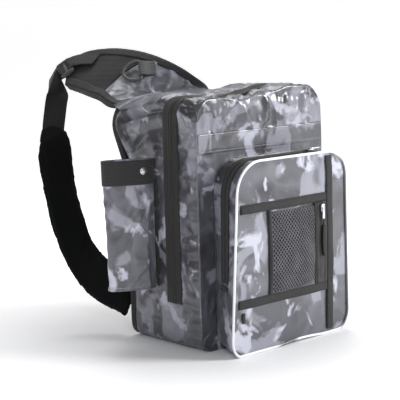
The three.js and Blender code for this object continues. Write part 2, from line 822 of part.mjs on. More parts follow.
const sleeveStripX = -halfWidth - seamGap - webbing;
const sleeveLong = new THREE.Vector3(-Math.cos(sleeveTurn), Math.sin(sleeveTurn), 0);
const sleeveShort = new THREE.Vector3(-Math.sin(sleeveTurn), -Math.cos(sleeveTurn), 0);
const sleeveWallX = sleeveStripX - seamGap - webbing - seamGap - 0.2;

// The tube's section at a height, grown outwards, its nearest side at the strip.
function sleeveRing(z, grow) {
  const share = (z - sleeveFoot) / sleeveHeight;
  const thickness = lerp(sleeveFootThickness, sleeveTopThickness, share);
  const taper = lerp(0.96, 1, share);
  const half = (sleeveWidth / 2) * taper;
  const count = 22;
  const section = (more) =>
    Array.from({ length: count }, (_, i) => {
      const turn = (i / count) * 2 * Math.PI;
      const round = (v) => Math.sign(v) * Math.abs(v) ** 0.8;
      return new THREE.Vector3(0, sleeveAttach, z)
        .addScaledVector(sleeveLong, half + round(Math.cos(turn)) * (half + more))
        .addScaledVector(sleeveShort, round(Math.sin(turn)) * (thickness / 2 + more));
    });
  const nearest = Math.max(...section(0).map((p) => p.x));
  return section(grow).map((p) => p.setX(p.x - nearest + sleeveWallX));
}

function tubeBetween(heights, outGrow, inGrow) {
  const outer = heights.map((z) => sleeveRing(z, outGrow));
  const inner = heights.map((z) => sleeveRing(z, inGrow)).reverse();
  return loft([...outer, ...inner], null);
}

function sleeve() {
  const top = sleeveFoot + sleeveHeight;
  const heights = [0, 0.25, 0.5, 0.75, 1].map((t) => lerp(sleeveFoot, top, t));
  addPiece("side_sleeve", tubeBetween(heights, 0, -sleeveWall), "camo");
  const bandFoot = top - sleeveBandHeight;
  const band = tubeBetween([bandFoot, top + 0.5], seamGap + webbing, seamGap);
  addPiece("sleeve_band", band, "webbing");
  const strip = box(
    sleeveStripX,
    sleeveStripX + webbing,
    sleeveAttach - sleeveStripWidth / 2,
    sleeveAttach + sleeveStripWidth / 2,
    sleeveFoot,
    top,
  );
  addPiece("sleeve_strip", strip, "webbing");
  const ring = sleeveRing(top - sleeveBandHeight / 2 + 2, seamGap + webbing);
  const at = ring[7];
  const out = ring[8].clone().sub(ring[6]).cross(new THREE.Vector3(0, 0, 1)).normalize();
  if (out.dot(sleeveShort) < 0) out.negate();
  const snap = new THREE.CylinderGeometry(snapDiameter * 0.4, snapDiameter / 2, 2.2, 16);
  const turn = new THREE.Quaternion().setFromUnitVectors(new THREE.Vector3(0, 1, 0), out);
  snap.applyQuaternion(turn);
  const seat = at.clone().addScaledVector(out, 1.1 + seamGap);
  snap.translate(seat.x, seat.y, seat.z);
  addPiece("sleeve_snap", snap, "nickel");
}

// Padded back with its shoulder yoke

const panelInset = bindingTape + seamGap;

// The panel's edge in XZ, with room for the tape that stands on the ground.
const panelOutline = inset(bodyOutline(1), panelInset);

function panelPoint(p, scale, offset) {
  const x = p.x * scale;
  const z = lerp(bodyHeight / 2, p.y, scale);
  return new THREE.Vector3(x, panelY + pullBack(x, z) + offset, z);
}

function paddedPanel() {
  const ring = (scale, offset) => panelOutline.map((p) => panelPoint(p, scale, offset));
  return loft([
    ring(0.35, 0),
    ring(0.7, 0),
    ring(0.88, 0),
    ring(1, 0),
    ring(1, padEdge),
    ring(0.93, padEdge + padCrown),
    ring(0.7, padEdge + padCrown),
    ring(0.35, padEdge + padCrown),
  ]);
}

// Yoke surface: rows of left and right edge points, the first one along the
// panel's shoulder, with the pad's thickness behind it.
const yokeAcross = 5;
const yokeAlong = 16;
const shoulderReach = 0.34;
const rootInset = 0.03;

const onShoulder = (p) => p.y > bodyHeight * 0.9 && p.x < halfWidth * shoulderReach;
const shoulderFirst = panelOutline.findIndex(onShoulder);
const shoulderCount = panelOutline.filter(onShoulder).length;
const shoulderLast = shoulderFirst + shoulderCount - 1;
const shoulder = new THREE.CatmullRomCurve3(
  inset(panelOutline, -2 * seamGap)
    .slice(shoulderFirst, shoulderLast + 1)
    .map((p) => panelPoint(p, 1, 2 * seamGap)),
);

function yokeRow(row, v) {
  const left = new THREE.Vector3(
    row.leftX * halfWidth,
    panelY + row.leftBack * loopReach,
    row.leftUp * bodyHeight,
  );
  const right = new THREE.Vector3(
    row.rightX * halfWidth,
    panelY + row.rightBack * loopReach,
    row.rightUp * bodyHeight,
  );
  return left.lerp(right, v);
}

function yokePoint(u, v) {
  const root = shoulder.getPoint(lerp(rootInset, 1 - rootInset, v));
  const line = [root, ...yokeRows.map((row) => yokeRow(row, v))];
  return new THREE.CatmullRomCurve3(line, false, "centripetal").getPoint(u);
}

// A point of the yoke with its directions: along to the tip, side to the neck, out in front.
function yokeFrame(u, v) {
  const step = 0.01;
  const at = yokePoint(u, v);
  const along = yokePoint(Math.min(u + step, 1), v).sub(yokePoint(Math.max(u - step, 0), v));
  const across = yokePoint(u, Math.min(v + step, 1)).sub(yokePoint(u, Math.max(v - step, 0)));
  along.normalize();
  const out = across.cross(along).normalize();
  const side = along.clone().cross(out).normalize();
  return { at, along, side, out };
}

// The pad is thin where it is sewn to the panel.
function rootThinning(u) {
  return lerp(0.2, 1, smooth(u / 0.2));
}

// A layer of the yoke between two distances from its front surface; each line gives
// its place along the yoke as a function of the place across.
function yokeLayer(lines, near, far) {
  const across = Array.from({ length: yokeAcross + 1 }, (_, j) => j / yokeAcross);
  const point = (line, v, offset) => {
    const frame = yokeFrame(line(v), v);
    const depth = offset < 0 ? offset * rootThinning(line(v)) : offset;
    return frame.at.addScaledVector(frame.out, depth);
  };
  return loft(
    lines.map((line) => [
      ...across.map((v) => point(line, v, near)),
      ...across.map((v) => point(line, v, far)).reverse(),
    ]),
    slabCap,
  );
}

// Lines at the pad's own steps, then a few up to a slanting last line.
function yokeLines(first, last) {
  return Array.from({ length: last - first + 1 }, (_, i) => () => (first + i) / yokeAlong);
}

function slantLines(start, end, count) {
  return Array.from({ length: count }, (_, i) => (v) => lerp(start(v), end(v), (i + 1) / count));
}

// Curved layers lie a little clear of the pad beneath them.
const layerGap = 2 * seamGap;

// The ribbed patch ends on a line that rises fast from the outer edge, then runs level.
const patchEdge = (v) => lerp(patchEdgeLeft, patchEdgeNeck, 1 - (1 - v) ** 3);

const yokeShape = yokeLayer(yokeLines(0, yokeAlong), 0, -yokePad);

function backPanel(tape) {
  addPiece("shoulder_yoke", clearOf(yokeShape, [tape]), "airMesh");
  addPiece("back_panel", clearOf(paddedPanel(), [yokeShape, tape], layerGap), "airMesh");
  const near = layerGap;
  const aligned = yokeLines(1, Math.floor(patchEdgeLeft * yokeAlong));
  const coverEnd = (v) => patchEdge(v) - 0.004;
  const coverLines = [...aligned, ...slantLines(aligned.at(-1), coverEnd, 4)];
  const cover = yokeLayer(coverLines, near, near + coverCloth);
  addPiece("yoke_cover", clearOf(cover, [yokeShape]), "camo");
  const level = Math.floor(patchEdgeNeck * yokeAlong) + 1;
  const levelLines = yokeLines(level, yokeAlong);
  const patchLines = [patchEdge, ...slantLines(patchEdge, levelLines[0], 2), ...levelLines.slice(1)];
  const patch = yokeLayer(patchLines, near, near + coverCloth);
  addPiece("yoke_patch", clearOf(patch, [yokeShape, tape]), "webbing");
  return { cover, patch };
}

// Four corners of the tape's section on the yoke's edge.
function tapeOnYoke(u, v, turn, near, far, front, back) {
  const frame = yokeFrame(u, v);
  const edge = frame.side.clone().multiplyScalar(v > 0.5 ? 1 : -1);
  if (turn) edge.multiplyScalar(v > 0 && v < 1 ? 0 : 1).add(frame.along);
  const corner = (out, depth) =>
    frame.at.clone().addScaledVector(edge, out).addScaledVector(frame.out, depth);
  return [corner(near, front), corner(far, front), corner(far, -back), corner(near, -back)];
}

// One tape round the padded back and the yoke, on their edges.
function edgeBinding() {
  const near = layerGap;
  const far = layerGap + bindingTape;
  const proud = layerGap + coverCloth;
  const onYoke = (u, v, turn) =>
    tapeOnYoke(u, v, turn, near, far, proud * smooth(u / 0.2), yokePad * rootThinning(u));
  const rings = [];
  for (let i = yokeAlong; i >= 1; i -= 1) rings.push(onYoke(i / yokeAlong, 0, i === yokeAlong));
  const count = panelOutline.length;
  const inner = inset(bodyOutline(1), bindingTape);
  const outer = bodyOutline(1);
  for (let k = 0; k < count - shoulderCount; k += 1) {
    const i = (shoulderFirst - k + count) % count;
    rings.push([
      panelPoint(inner[i], 1, 0),
      panelPoint(outer[i], 1, 0),
      panelPoint(outer[i], 1, padEdge),
      panelPoint(inner[i], 1, padEdge),
    ]);
  }
  for (let i = 1; i <= yokeAlong; i += 1) rings.push(onYoke(i / yokeAlong, 1, i === yokeAlong));
  for (const v of [0.66, 0.33]) rings.push(onYoke(1, v, true));
  const tape = loft(rings, null);
  addPiece("edge_binding", tape, "webbing");
  return tape;
}

// D ring lying on the yoke, its straight bar held by a webbing tab.

function placeOn(geometry, frame, lift) {
  const basis = new THREE.Matrix4().makeBasis(frame.side, frame.along, frame.out);
  geometry.applyMatrix4(basis);
  const at = frame.at.clone().addScaledVector(frame.out, lift);
  return geometry.translate(at.x, at.y, at.z);
}

// A frame turned about its outward direction, from the tip towards the outer edge.
function turned(frame, angle) {
  const along = frame.along.clone().multiplyScalar(Math.cos(angle));
  along.addScaledVector(frame.side, -Math.sin(angle));
  return { ...frame, along, side: along.clone().cross(frame.out).normalize() };
}

function dRing() {
  const frame = turned(yokeFrame(dRingAt.u, dRingAt.v), dRingAt.turn);
  const lift = layerGap + coverCloth + dRingWire / 2 + webbing + 3 * seamGap;
  const half = dRingWidth / 2 - dRingWire / 2;
  const reach = dRingLength - dRingWire;
  const path = [-0.85, 0, 0.85].map((share) => new THREE.Vector3(share * half, 0, 0));
  for (let i = 0; i <= 12; i += 1) {
    const turn = (i / 12) * Math.PI;
    const bulge = dRingWire + (reach - dRingWire) * Math.sin(turn);
    path.push(new THREE.Vector3(half * Math.cos(turn), bulge, 0));
  }
  addPiece("d_ring", placeOn(flatLoop(path, dRingWire / 2, 8), frame, lift), "plastic");
  const turn = dRingWire / 2 + seamGap + webbing / 2;
  const tail = -dRingTab;
  const low = -lift + layerGap + coverCloth + 2 * seamGap + webbing / 2;
  const fold = [new THREE.Vector3(0, tail, low)];
  fold.push(new THREE.Vector3(0, -turn * 1.6, Math.max(low, -turn)));
  for (let i = 0; i <= 6; i += 1) {
    const angle = -Math.PI / 2 + (i / 6) * Math.PI;
    fold.push(new THREE.Vector3(0, turn * Math.cos(angle), turn * Math.sin(angle)));
  }
  fold.push(new THREE.Vector3(0, -turn * 1.6, turn * 0.8));
  fold.push(new THREE.Vector3(0, tail * 0.6, low + webbing + seamGap));
  fold.push(new THREE.Vector3(0, tail, low + webbing + seamGap));
  const across = fold.map(() => new THREE.Vector3(1, 0, 0));
  const tab = ribbon(fold, across, dRingWidth - 2 * dRingWire - dRingPlay, webbing);
  const placed = placeOn(tab, frame, lift);
  addPiece("d_ring_tab", clearOf(placed, [yokeLayers.cover, yokeLayers.patch]), "webbing");
}

// Ladder buckle at the yoke's tip, its webbing and the sling strap

const buckleFrame = yokeFrame(1, buckleNeck);
const buckleLift = layerGap + coverCloth + 3 * seamGap + strapWebbing + buckleThickness / 2;
const barShift = (buckleLength - buckleBar) / 2;
const barTurn = (buckleBar / 2) * Math.SQRT2 + seamGap + strapWebbing / 2;

function buckle() {
  const plate = new THREE.ExtrudeGeometry(roundedPlate(buckleWidth / 2, buckleLength / 2, 4), {
    depth: buckleThickness,
    bevelEnabled: false,
  });
  plate.translate(0, 0, -buckleThickness / 2);
  const slotHalf = strapWebbingWidth / 2 + 1;
  const slotLength = (buckleLength - 3 * buckleBar) / 2;
  const end = buckleLength / 2 - buckleBar;
  const slotDepth = buckleThickness;
  let frame = toSolid(plate);
  for (const start of [-end, end - slotLength]) {
    const slot = box(-slotHalf, slotHalf, start, start + slotLength, -slotDepth, slotDepth);
    frame = frame.subtract(toSolid(slot));
  }
  const above = box(-slotHalf, slotHalf, -buckleLength, buckleLength, buckleBar / 2, slotDepth);
  const below = box(-slotHalf, slotHalf, -buckleLength, buckleLength, -slotDepth, -buckleBar / 2);
  frame = frame.subtract(toSolid(above)).subtract(toSolid(below));
  addPiece("ladder_buckle", placeOn(toGeometry(frame), buckleFrame, buckleLift), "plastic");
}

function buckleLocal(y, z) {
  return buckleFrame.at
    .clone()
    .addScaledVector(buckleFrame.along, y)
    .addScaledVector(buckleFrame.out, buckleLift + z);
}

function halfTurn(middle, sign) {
  return Array.from({ length: 7 }, (_, i) => {
    const angle = (i / 6) * Math.PI;
    return buckleLocal(middle + sign * barTurn * Math.sin(angle), -barTurn * Math.cos(angle));
  });
}

function buckleWebbing() {
  const surface = layerGap + coverCloth + 3 * seamGap + strapWebbing / 2;
  const path = [buckleLocal(-barShift - buckleTuck, -barTurn), ...halfTurn(-barShift, 1)];
  for (const share of [0.15, 0.4, 0.7, 1]) {
    const frame = yokeFrame(lerp(0.965, webbingRoot, share), buckleNeck);
    const lift = lerp(buckleLift + barTurn, surface + 0.6, smooth(share));
    path.push(frame.at.addScaledVector(frame.out, lift));
  }
  const across = path.map(() => buckleFrame.side);
  const strip = ribbon(path, across, strapWebbingWidth, strapWebbing);
  addPiece("buckle_webbing", clearOf(strip, [yokeLayers.patch, tapeShape]), "webbing");
}

const strapSeatY = panelY + padEdge + padCrown + seamGap;
const strapReach = loopReach - padEdge - padCrown - seamGap;

function strapEdge(prefix) {
  return new THREE.CatmullRomCurve3(
    strapRows.map(
      (row) =>
        new THREE.Vector3(
          row[`${prefix}X`] * halfWidth,
          strapSeatY + row[`${prefix}Back`] * strapReach,
          row[`${prefix}Up`] * bodyHeight,
        ),
    ),
    false,
    "centripetal",
  );
}

const strapOut = strapEdge("out");
const strapIn = strapEdge("in");

// A place on the strap: t from the buckle (0) to the panel (1); face points away from the bag.
function strapFrame(t) {
  const step = 0.008;
  const middle = (s) => strapOut.getPoint(s).lerp(strapIn.getPoint(s), 0.5);
  const at = middle(t);
  const along = middle(Math.min(t + step, 1)).sub(middle(Math.max(t - step, 0))).normalize();
  const across = strapIn.getPoint(t).sub(strapOut.getPoint(t));
  const width = across.length();
  across.addScaledVector(along, -across.dot(along)).normalize();
  const face = across.clone().cross(along).normalize();
  return { at, across, face, width };
}

const padStart = 4 / (strapRows.length - 1);
const padSteps = 22;

function strapPad() {
  const profile = [
    { v: -0.5, deep: strapPadEdge },
    { v: -0.36, deep: strapPadThickness },
    { v: 0, deep: strapPadThickness },
    { v: 0.36, deep: strapPadThickness },
    { v: 0.5, deep: strapPadEdge },
  ];
  const rings = [];
  for (let i = 0; i <= padSteps; i += 1) {
    const share = i / padSteps;
    const frame = strapFrame(lerp(padStart, 1, share ** 1.2));
    const round = Math.sqrt(1 - (1 - Math.min(share / 0.09, 1)) ** 2);
    const width = frame.width * lerp(0.35, 1, round);
    const thin = lerp(0.5, 1, round);
    const point = (part, sign) =>
      frame.at
        .clone()
        .addScaledVector(frame.across, part.v * width)
        .addScaledVector(frame.face, (sign * part.deep * thin) / 2);
    rings.push([
      ...profile.map((part) => point(part, 1)),
      ...[...profile].reverse().map((part) => point(part, -1)),
    ]);
  }
  const behind = box(-bodyWidth, 0, -bodyDepth, strapSeatY, -bodyHeight, bodyHeight);
  const pad = toGeometry(toSolid(loft(rings, slabCap)).subtract(toSolid(behind)));
  addPiece("strap_pad", pad, "airMesh");
  return pad;
}

// Where the strap leaves the buckle and where its turn towards the pad is done.
const strapLead = 13;
const strapTurn = 0.13;

function strapBand() {
  const path = [buckleLocal(barShift + strapTuck, -barTurn)];
  const across = [buckleFrame.side];
  for (const p of halfTurn(barShift, -1)) {
    path.push(p);
    across.push(buckleFrame.side);
  }
  path.push(buckleLocal(barShift + strapLead, barTurn));
  across.push(buckleFrame.side);
  const last = padStart + strapOverlap;
  const clear = strapPadThickness / 2 + 3 * seamGap + strapWebbing / 2;
  for (let i = 0; i <= 14; i += 1) {
    const t = lerp(strapTurn, last, i / 14);
    const frame = strapFrame(t);
    const lift = clear * smooth((t - padStart * 0.35) / (padStart * 0.5));
    path.push(frame.at.addScaledVector(frame.face, lift));
    across.push(frame.across.clone().negate());
  }
  const band = ribbon(path, across, strapWebbingWidth, strapWebbing);
  addPiece("strap_webbing", clearOf(band, [padShape]), "webbing");
}

const mainShape = mainBody();
mainSlider();
const pocketShape = pocket();
frontStrip(mainShape, pocketShape.body);
pocketSlider(pocketShape.from);
pocketZipTab(pocketShape.from);
faceBands();
const meshSpan = meshPocket();
meshSlider(meshSpan.head);
nameTab();
sleeve();
const tapeShape = edgeBinding();
const yokeLayers = backPanel(tapeShape);
dRing();
buckle();
buckleWebbing();
const padShape = strapPad();
strapBand();

export default bag;
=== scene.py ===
# %% [markdown]
# # A sling bag for fishing tackle
# This lesson dresses a plain CAD model of a soft bag for one shoulder. The CAD solids say where each
# piece is and how big it is. Here each piece gets its cloth, folds, seams and finish. Everything is in
# metres, in the CAD model's own frame: the ground is z = 0 and the front pocket looks towards -Y.
# The first cell loads that frame. It keeps the CAD parts, whose boxes later cells read.

# %% Load the frame
import math
import bmesh
import bpy
from mathutils import Matrix, Vector, noise
from mathutils.bvhtree import BVHTree


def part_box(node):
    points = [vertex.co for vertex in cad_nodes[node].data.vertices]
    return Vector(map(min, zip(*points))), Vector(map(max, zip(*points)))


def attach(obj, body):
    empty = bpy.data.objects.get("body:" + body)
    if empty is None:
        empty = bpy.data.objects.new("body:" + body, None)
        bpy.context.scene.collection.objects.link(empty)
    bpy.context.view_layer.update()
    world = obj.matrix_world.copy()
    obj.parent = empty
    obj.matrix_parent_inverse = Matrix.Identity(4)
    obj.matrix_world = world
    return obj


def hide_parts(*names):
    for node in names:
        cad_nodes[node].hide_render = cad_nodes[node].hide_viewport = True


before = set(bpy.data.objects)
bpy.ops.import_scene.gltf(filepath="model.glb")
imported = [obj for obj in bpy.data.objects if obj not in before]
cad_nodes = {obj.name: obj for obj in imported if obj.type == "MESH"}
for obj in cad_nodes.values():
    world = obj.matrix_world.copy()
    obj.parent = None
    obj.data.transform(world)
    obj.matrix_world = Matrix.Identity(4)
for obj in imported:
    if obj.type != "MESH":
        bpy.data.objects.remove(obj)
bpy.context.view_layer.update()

mm = 0.001

# %% [markdown]
# ## Camera
# The photograph looks a little down on the bag's front left corner through a long lens, so its edges
# run nearly parallel. The camera is set by its three directions instead of by angles, because a bag
# that was photographed by hand is seldom level in the frame.

# %% Camera
camera_data = bpy.data.cameras.new("camera")
camera_data.lens = 109.03
camera_data.sensor_width = 36
camera = bpy.data.objects.new("camera", camera_data)
bpy.context.scene.collection.objects.link(camera)
to_right = Vector((0.73469, -0.67790, -0.02608))
to_top = Vector((0.11689, 0.08863, 0.98918))
to_back = Vector((-0.66826, -0.72979, 0.14436))
turned = Matrix((to_right, to_top, to_back)).transposed().to_4x4()
camera.matrix_world = Matrix.Translation(Vector((-1354.2, -1411.3, 502.2)) * mm) @ turned
bpy.context.scene.camera = camera
print("lens", camera_data.lens, "at", tuple(round(v, 3) for v in camera.location))

# %% [markdown]
# ## Lights
# A photographer lights such a bag with soft boxes. In Blender an area light does the same: the larger
# it is, the softer its shadow and the broader its shine. Each one here is turned towards a place in the
# middle of the bag, so only its position, size and strength have to be chosen. The key light is at the
# right front, so the pocket's face is bright, the left side is dark, and the soft shadow falls to the
# left. A broad light overhead and two small, weak ones from the left make the coated cloth shine along
# its folds. A dim white world fills the shadows.


# %% Lights
bag_middle = Vector((0, 0, 0.22))


def area_light(name, place, size, watts, colour=(1, 1, 1)):
    data = bpy.data.lights.new(name, "AREA")
    data.size = size
    data.energy = watts
    data.color = colour
    lamp = bpy.data.objects.new(name, data)
    bpy.context.scene.collection.objects.link(lamp)
    lamp.location = place
    lamp.rotation_mode = "QUATERNION"
    lamp.rotation_quaternion = (Vector(place) - bag_middle).to_track_quat("Z", "Y")


cool_white = (0.93, 0.95, 1)
area_light("key", (1.5, -1.9, 1.25), 0.8, 66)
area_light("overhead", (0.5, 0.7, 2.0), 1.2, 20)
area_light("left_front", (-1.5, -2.2, 1.1), 0.3, 12, cool_white)
area_light("left_rim", (-2.2, 0.2, 1.3), 0.2, 4, cool_white)
world = bpy.data.worlds.new("studio")
bpy.context.scene.world = world
world.use_nodes = True
world.node_tree.nodes["Background"].inputs["Color"].default_value = (1, 1, 1, 1)
world.node_tree.nodes["Background"].inputs["Strength"].default_value = 0.3
bpy.context.scene.view_settings.view_transform = "Standard"
print("four area lights and a white world")

# %% [markdown]
# ## Helpers for materials
# Every finish here is made of nodes: patterns that Blender computes from a point's place on the
# object. A picture would be quicker, but nodes stay sharp at any size and need no unwrapping. Small
# helpers keep the node trees short: each adds one kind of node with its inputs, and gives back the
# socket that the next node needs.


# %% Material helpers
def new_material(name, colour, roughness, **settings):
    material = bpy.data.materials.new(name)
    material.use_nodes = True
    material.diffuse_color = (*colour, 1)
    shader = material.node_tree.nodes["Principled BSDF"]
    shader.inputs["Base Color"].default_value = (*colour, 1)
    shader.inputs["Roughness"].default_value = roughness
    for key, value in settings.items():
        shader.inputs[key.replace("_", " ")].default_value = value
    return material, material.node_tree, shader


def add_node(tree, kind, links=None, props=None, **inputs):
    made = tree.nodes.new(kind)
    for key, value in (props or {}).items():
        setattr(made, key, value)
    for key, value in inputs.items():
        made.inputs[key.replace("_", " ")].default_value = value
    for key, socket in (links or {}).items():
        tree.links.new(socket, made.inputs[key])
    return made


def add_ramp(tree, socket, stops):
    ramp = add_node(tree, "ShaderNodeValToRGB", {"Fac": socket})
    while len(ramp.color_ramp.elements) < len(stops):
        ramp.color_ramp.elements.new(0.5)
    for element, (place, colour) in zip(ramp.color_ramp.elements, stops):
        element.position = place
        element.color = (*colour, 1)
    return ramp.outputs["Color"]


def object_place(tree, scale=(1, 1, 1), turn=(0, 0, 0), shift=(0, 0, 0)):
    coordinates = add_node(tree, "ShaderNodeTexCoord")
    mapping = add_node(tree, "ShaderNodeMapping", {"Vector": coordinates.outputs["Object"]})
    mapping.inputs["Location"].default_value = shift
    mapping.inputs["Rotation"].default_value = turn
    mapping.inputs["Scale"].default_value = scale
    return mapping.outputs["Vector"]


def noise_pattern(tree, place, scale, detail, roughness=0.5, distortion=0, kind="FBM"):
    sizes = {"Scale": scale, "Detail": detail, "Roughness": roughness, "Distortion": distortion}
    made = add_node(tree, "ShaderNodeTexNoise", {"Vector": place}, {"noise_type": kind}, **sizes)
    return made.outputs["Fac"]


def wave_pattern(tree, place, scale, direction="X", **inputs):
    props = {"bands_direction": direction}
    made = add_node(tree, "ShaderNodeTexWave", {"Vector": place}, props, Scale=scale, **inputs)
    return made.outputs["Fac"]


def calculate(tree, operation, first, second):
    made = add_node(tree, "ShaderNodeMath", {0: first, 1: second}, {"operation": operation})
    return made.outputs[0]


def map_range(tree, socket, start, end, top=1):
    inputs = {"From_Min": start, "From_Max": end, "To_Max": top}
    return add_node(tree, "ShaderNodeMapRange", {"Value": socket}, **inputs).outputs["Result"]


def colour_mix(tree, share, first, second):
    """Blends two colours, each of them a socket or three numbers."""
    made = add_node(tree, "ShaderNodeMix", {0: share}, {"data_type": "RGBA"})
    for slot, colour in ((6, first), (7, second)):
        if isinstance(colour, tuple):
            made.inputs[slot].default_value = (*colour, 1)
        else:
            tree.links.new(colour, made.inputs[slot])
    return made.outputs[2]


def scaled(colour, factor):
    return tuple(min(c * factor, 1) for c in colour)


def add_bump(tree, shader, layers):
    """Stacks bumps: each layer is (height socket, strength, distance in metres)."""
    normal = None
    for height, strength, distance in layers:
        links = {"Height": height}
        if normal is not None:
            links["Normal"] = normal
        bump = add_node(tree, "ShaderNodeBump", links, Strength=strength, Distance=distance)
        normal = bump.outputs["Normal"]
    tree.links.new(normal, shader.inputs["Normal"])


print("material helpers ready")

# %% [markdown]
# ## Camouflage cloth
# The cloth is a coated polyester with a grey camouflage print. The coating is smooth, so it shines in
# soft streaks wherever the cloth creases. The print is built in layers, as a printer would lay it
# down: a mid grey ground, soft dark clouds, then lighter patches with crisp, ragged edges. Each layer
# is one noise pattern cut at a level. A fine weave and a ridged crumple go into the bump.


# %% Camouflage material
def camo_cloth(name, turn, shift, painted_light_level=1.0, crumpled=0.5, smooth=0.23, dull=0.36):
    material, tree, shader = new_material(
        name, (0.12, 0.12, 0.14), 0.3, Sheen_Weight=0.15, Sheen_Roughness=0.4, Specular_IOR_Level=0.8
    )
    shader.inputs["Sheen Tint"].default_value = (0.8, 0.84, 1, 1)
    place = object_place(tree, (1, 1, 0.85), turn, shift)
    clouds = noise_pattern(tree, place, 9, 2.5, 0.5, 0.5)
    patches = noise_pattern(tree, place, 15, 3.5, 0.5, 0.8)
    pale = noise_pattern(tree, place, 21, 3.5, 0.55, 0.9)
    grounds = [
        (0.38, (0.035, 0.035, 0.042)),
        (0.46, (0.062, 0.063, 0.075)),
        (0.53, (0.1, 0.102, 0.122)),
        (0.6, (0.06, 0.061, 0.073)),
    ]
    # painted_light_level scales the print: painted light above 1, painted shade below 1.
    ground = add_ramp(tree, clouds, [(stop, scaled(colour, painted_light_level)) for stop, colour in grounds])
    patch_mask = add_ramp(tree, patches, [(0.52, (0, 0, 0)), (0.57, (1, 1, 1))])
    pale_mask = add_ramp(tree, pale, [(0.57, (0, 0, 0)), (0.64, (1, 1, 1))])
    patched = colour_mix(tree, patch_mask, ground, scaled((0.21, 0.214, 0.252), painted_light_level))
    printed = colour_mix(tree, pale_mask, patched, scaled((0.42, 0.426, 0.5), painted_light_level))
    tree.links.new(printed, shader.inputs["Base Color"])
    weave_a = wave_pattern(tree, object_place(tree), 330)
    weave_b = wave_pattern(tree, object_place(tree), 330, "Z")
    weave = calculate(tree, "MULTIPLY", weave_a, weave_b)
    stretched = object_place(tree, (1, 1, 0.55), turn)
    crumple = noise_pattern(tree, stretched, 26, 2.5, 0.45, 0.6, "RIDGED_MULTIFRACTAL")
    worn = add_ramp(tree, clouds, [(0.35, (smooth,) * 3), (0.7, (dull,) * 3)])
    tree.links.new(worn, shader.inputs["Roughness"])
    add_bump(tree, shader, [(weave, 0.15, 0.0002), (crumple, crumpled, 0.0045)])
    return material


# One cloth in four cuts. Their levels are painted light and shade: the sleeve and the pocket are painted
# lighter, the body darker.
body_cloth = camo_cloth("body_cloth", (0.3, 0.2, 0.5), (0, 0, 0), 0.9, 0.9)
pocket_cloth = camo_cloth("pocket_cloth", (0.5, -0.3, 0.2), (0.37, 0.11, 0.05), 1.1, 0.4)
sleeve_cloth = camo_cloth("sleeve_cloth", (0.1, 0.6, 0.9), (0.7, 0.4, 0.3), 1.35, 0.5)
yoke_cloth = camo_cloth("yoke_cloth", (0.9, 0.2, 1.1), (0.2, 0.9, 0.6), 1.05, 0.6, 0.4, 0.55)
print("camouflage cloth in four cuts")

# %% [markdown]
# ## Webbing, tape and mesh
# Woven webbing is a row of ribs. A wave pattern across the ribbon gives the ribs, and a second, finer
# one along it breaks them into threads. The same idea, with other sizes, makes zip tape. Air mesh is
# a grid of tiny holes, which a cell pattern gives.


# %% Woven and padded materials
def woven(name, colour, rib, across, roughness=0.8, depth=0.0005, top_highlight=1.9, turn=0):
    material, tree, shader = new_material(
        name, colour, roughness, Specular_IOR_Level=0.3, Sheen_Weight=0.12, Sheen_Roughness=0.5
    )
    scale = 2 * math.pi / (20 * rib)
    place = object_place(tree, (1, 1, 1), (0, 0, turn))
    ribs = wave_pattern(tree, place, scale, across, Distortion=0.6, Detail=1)
    threads = wave_pattern(tree, place, scale * 1.7, "X" if across == "Z" else "Z")
    both = calculate(tree, "MULTIPLY", ribs, threads)
    # Painted shade and painted highlight: darker where the ribs and threads dip, lighter on their tops.
    relief_light_and_shade = add_ramp(tree, both, [(0.0, scaled(colour, 0.45)), (0.9, scaled(colour, top_highlight))])
    tree.links.new(relief_light_and_shade, shader.inputs["Base Color"])
    add_bump(tree, shader, [(both, 0.7, depth)])
    return material


def spacer_mesh(name, colour, cell):
    material, tree, shader = new_material(
        name, colour, 0.9, Specular_IOR_Level=0.1, Sheen_Weight=0.03, Sheen_Roughness=0.6
    )
    links = {"Vector": object_place(tree)}
    cells = add_node(tree, "ShaderNodeTexVoronoi", links, Scale=1 / cell, Randomness=0.25)
    holes = cells.outputs["Distance"]
    # Painted shade in the holes, painted highlight on the walls between them.
    relief_light_and_shade = add_ramp(tree, holes, [(0.15, scaled(colour, 0.3)), (0.5, scaled(colour, 1.8))])
    tree.links.new(relief_light_and_shade, shader.inputs["Base Color"])
    add_bump(tree, shader, [(holes, 0.6, 0.0006)])
    return material


webbing_black = woven("webbing_black", (0.028, 0.028, 0.028), 0.0016, "Z")
webbing_flat = woven("webbing_flat", (0.026, 0.026, 0.027), 0.0016, "X")
# The strap's webbing is the black webbing made darker: painted shade, where the strap hangs in shade.
shaded_strap_webbing = woven("shaded_strap_webbing", (0.007, 0.007, 0.0075), 0.0018, "X")
webbing_grey = woven("webbing_grey", (0.085, 0.088, 0.085), 0.002, "DIAGONAL", top_highlight=2.2)
patch_black = (0.013, 0.013, 0.0127)
ribbed_patch = woven("ribbed_patch", patch_black, 0.0034, "X", depth=0.0009, top_highlight=2.2, turn=0.745)
grained_band = woven("grained_band", (0.03, 0.029, 0.029), 0.0022, "Z", 0.38, 0.0007)
zip_tape = woven("zip_tape", (0.034, 0.031, 0.029), 0.0011, "Y", 0.75)
air_mesh = spacer_mesh("air_mesh", (0.0022, 0.0024, 0.0027), 0.0022)
binding_tape = woven("binding_tape", (0.02, 0.02, 0.02), 0.0013, "DIAGONAL")
print("woven materials ready")

# %% [markdown]
# ## Plastic, metal, thread and piping
# Small hard parts and threads are almost one colour, but never quite. Two noises help: a fine one
# roughens the surface and a coarse one makes the colour uneven. The piping is light satin. A mask in its
# material paints shade on the side that is turned away at the right, and darkens one scuffed stretch at
# the bottom.


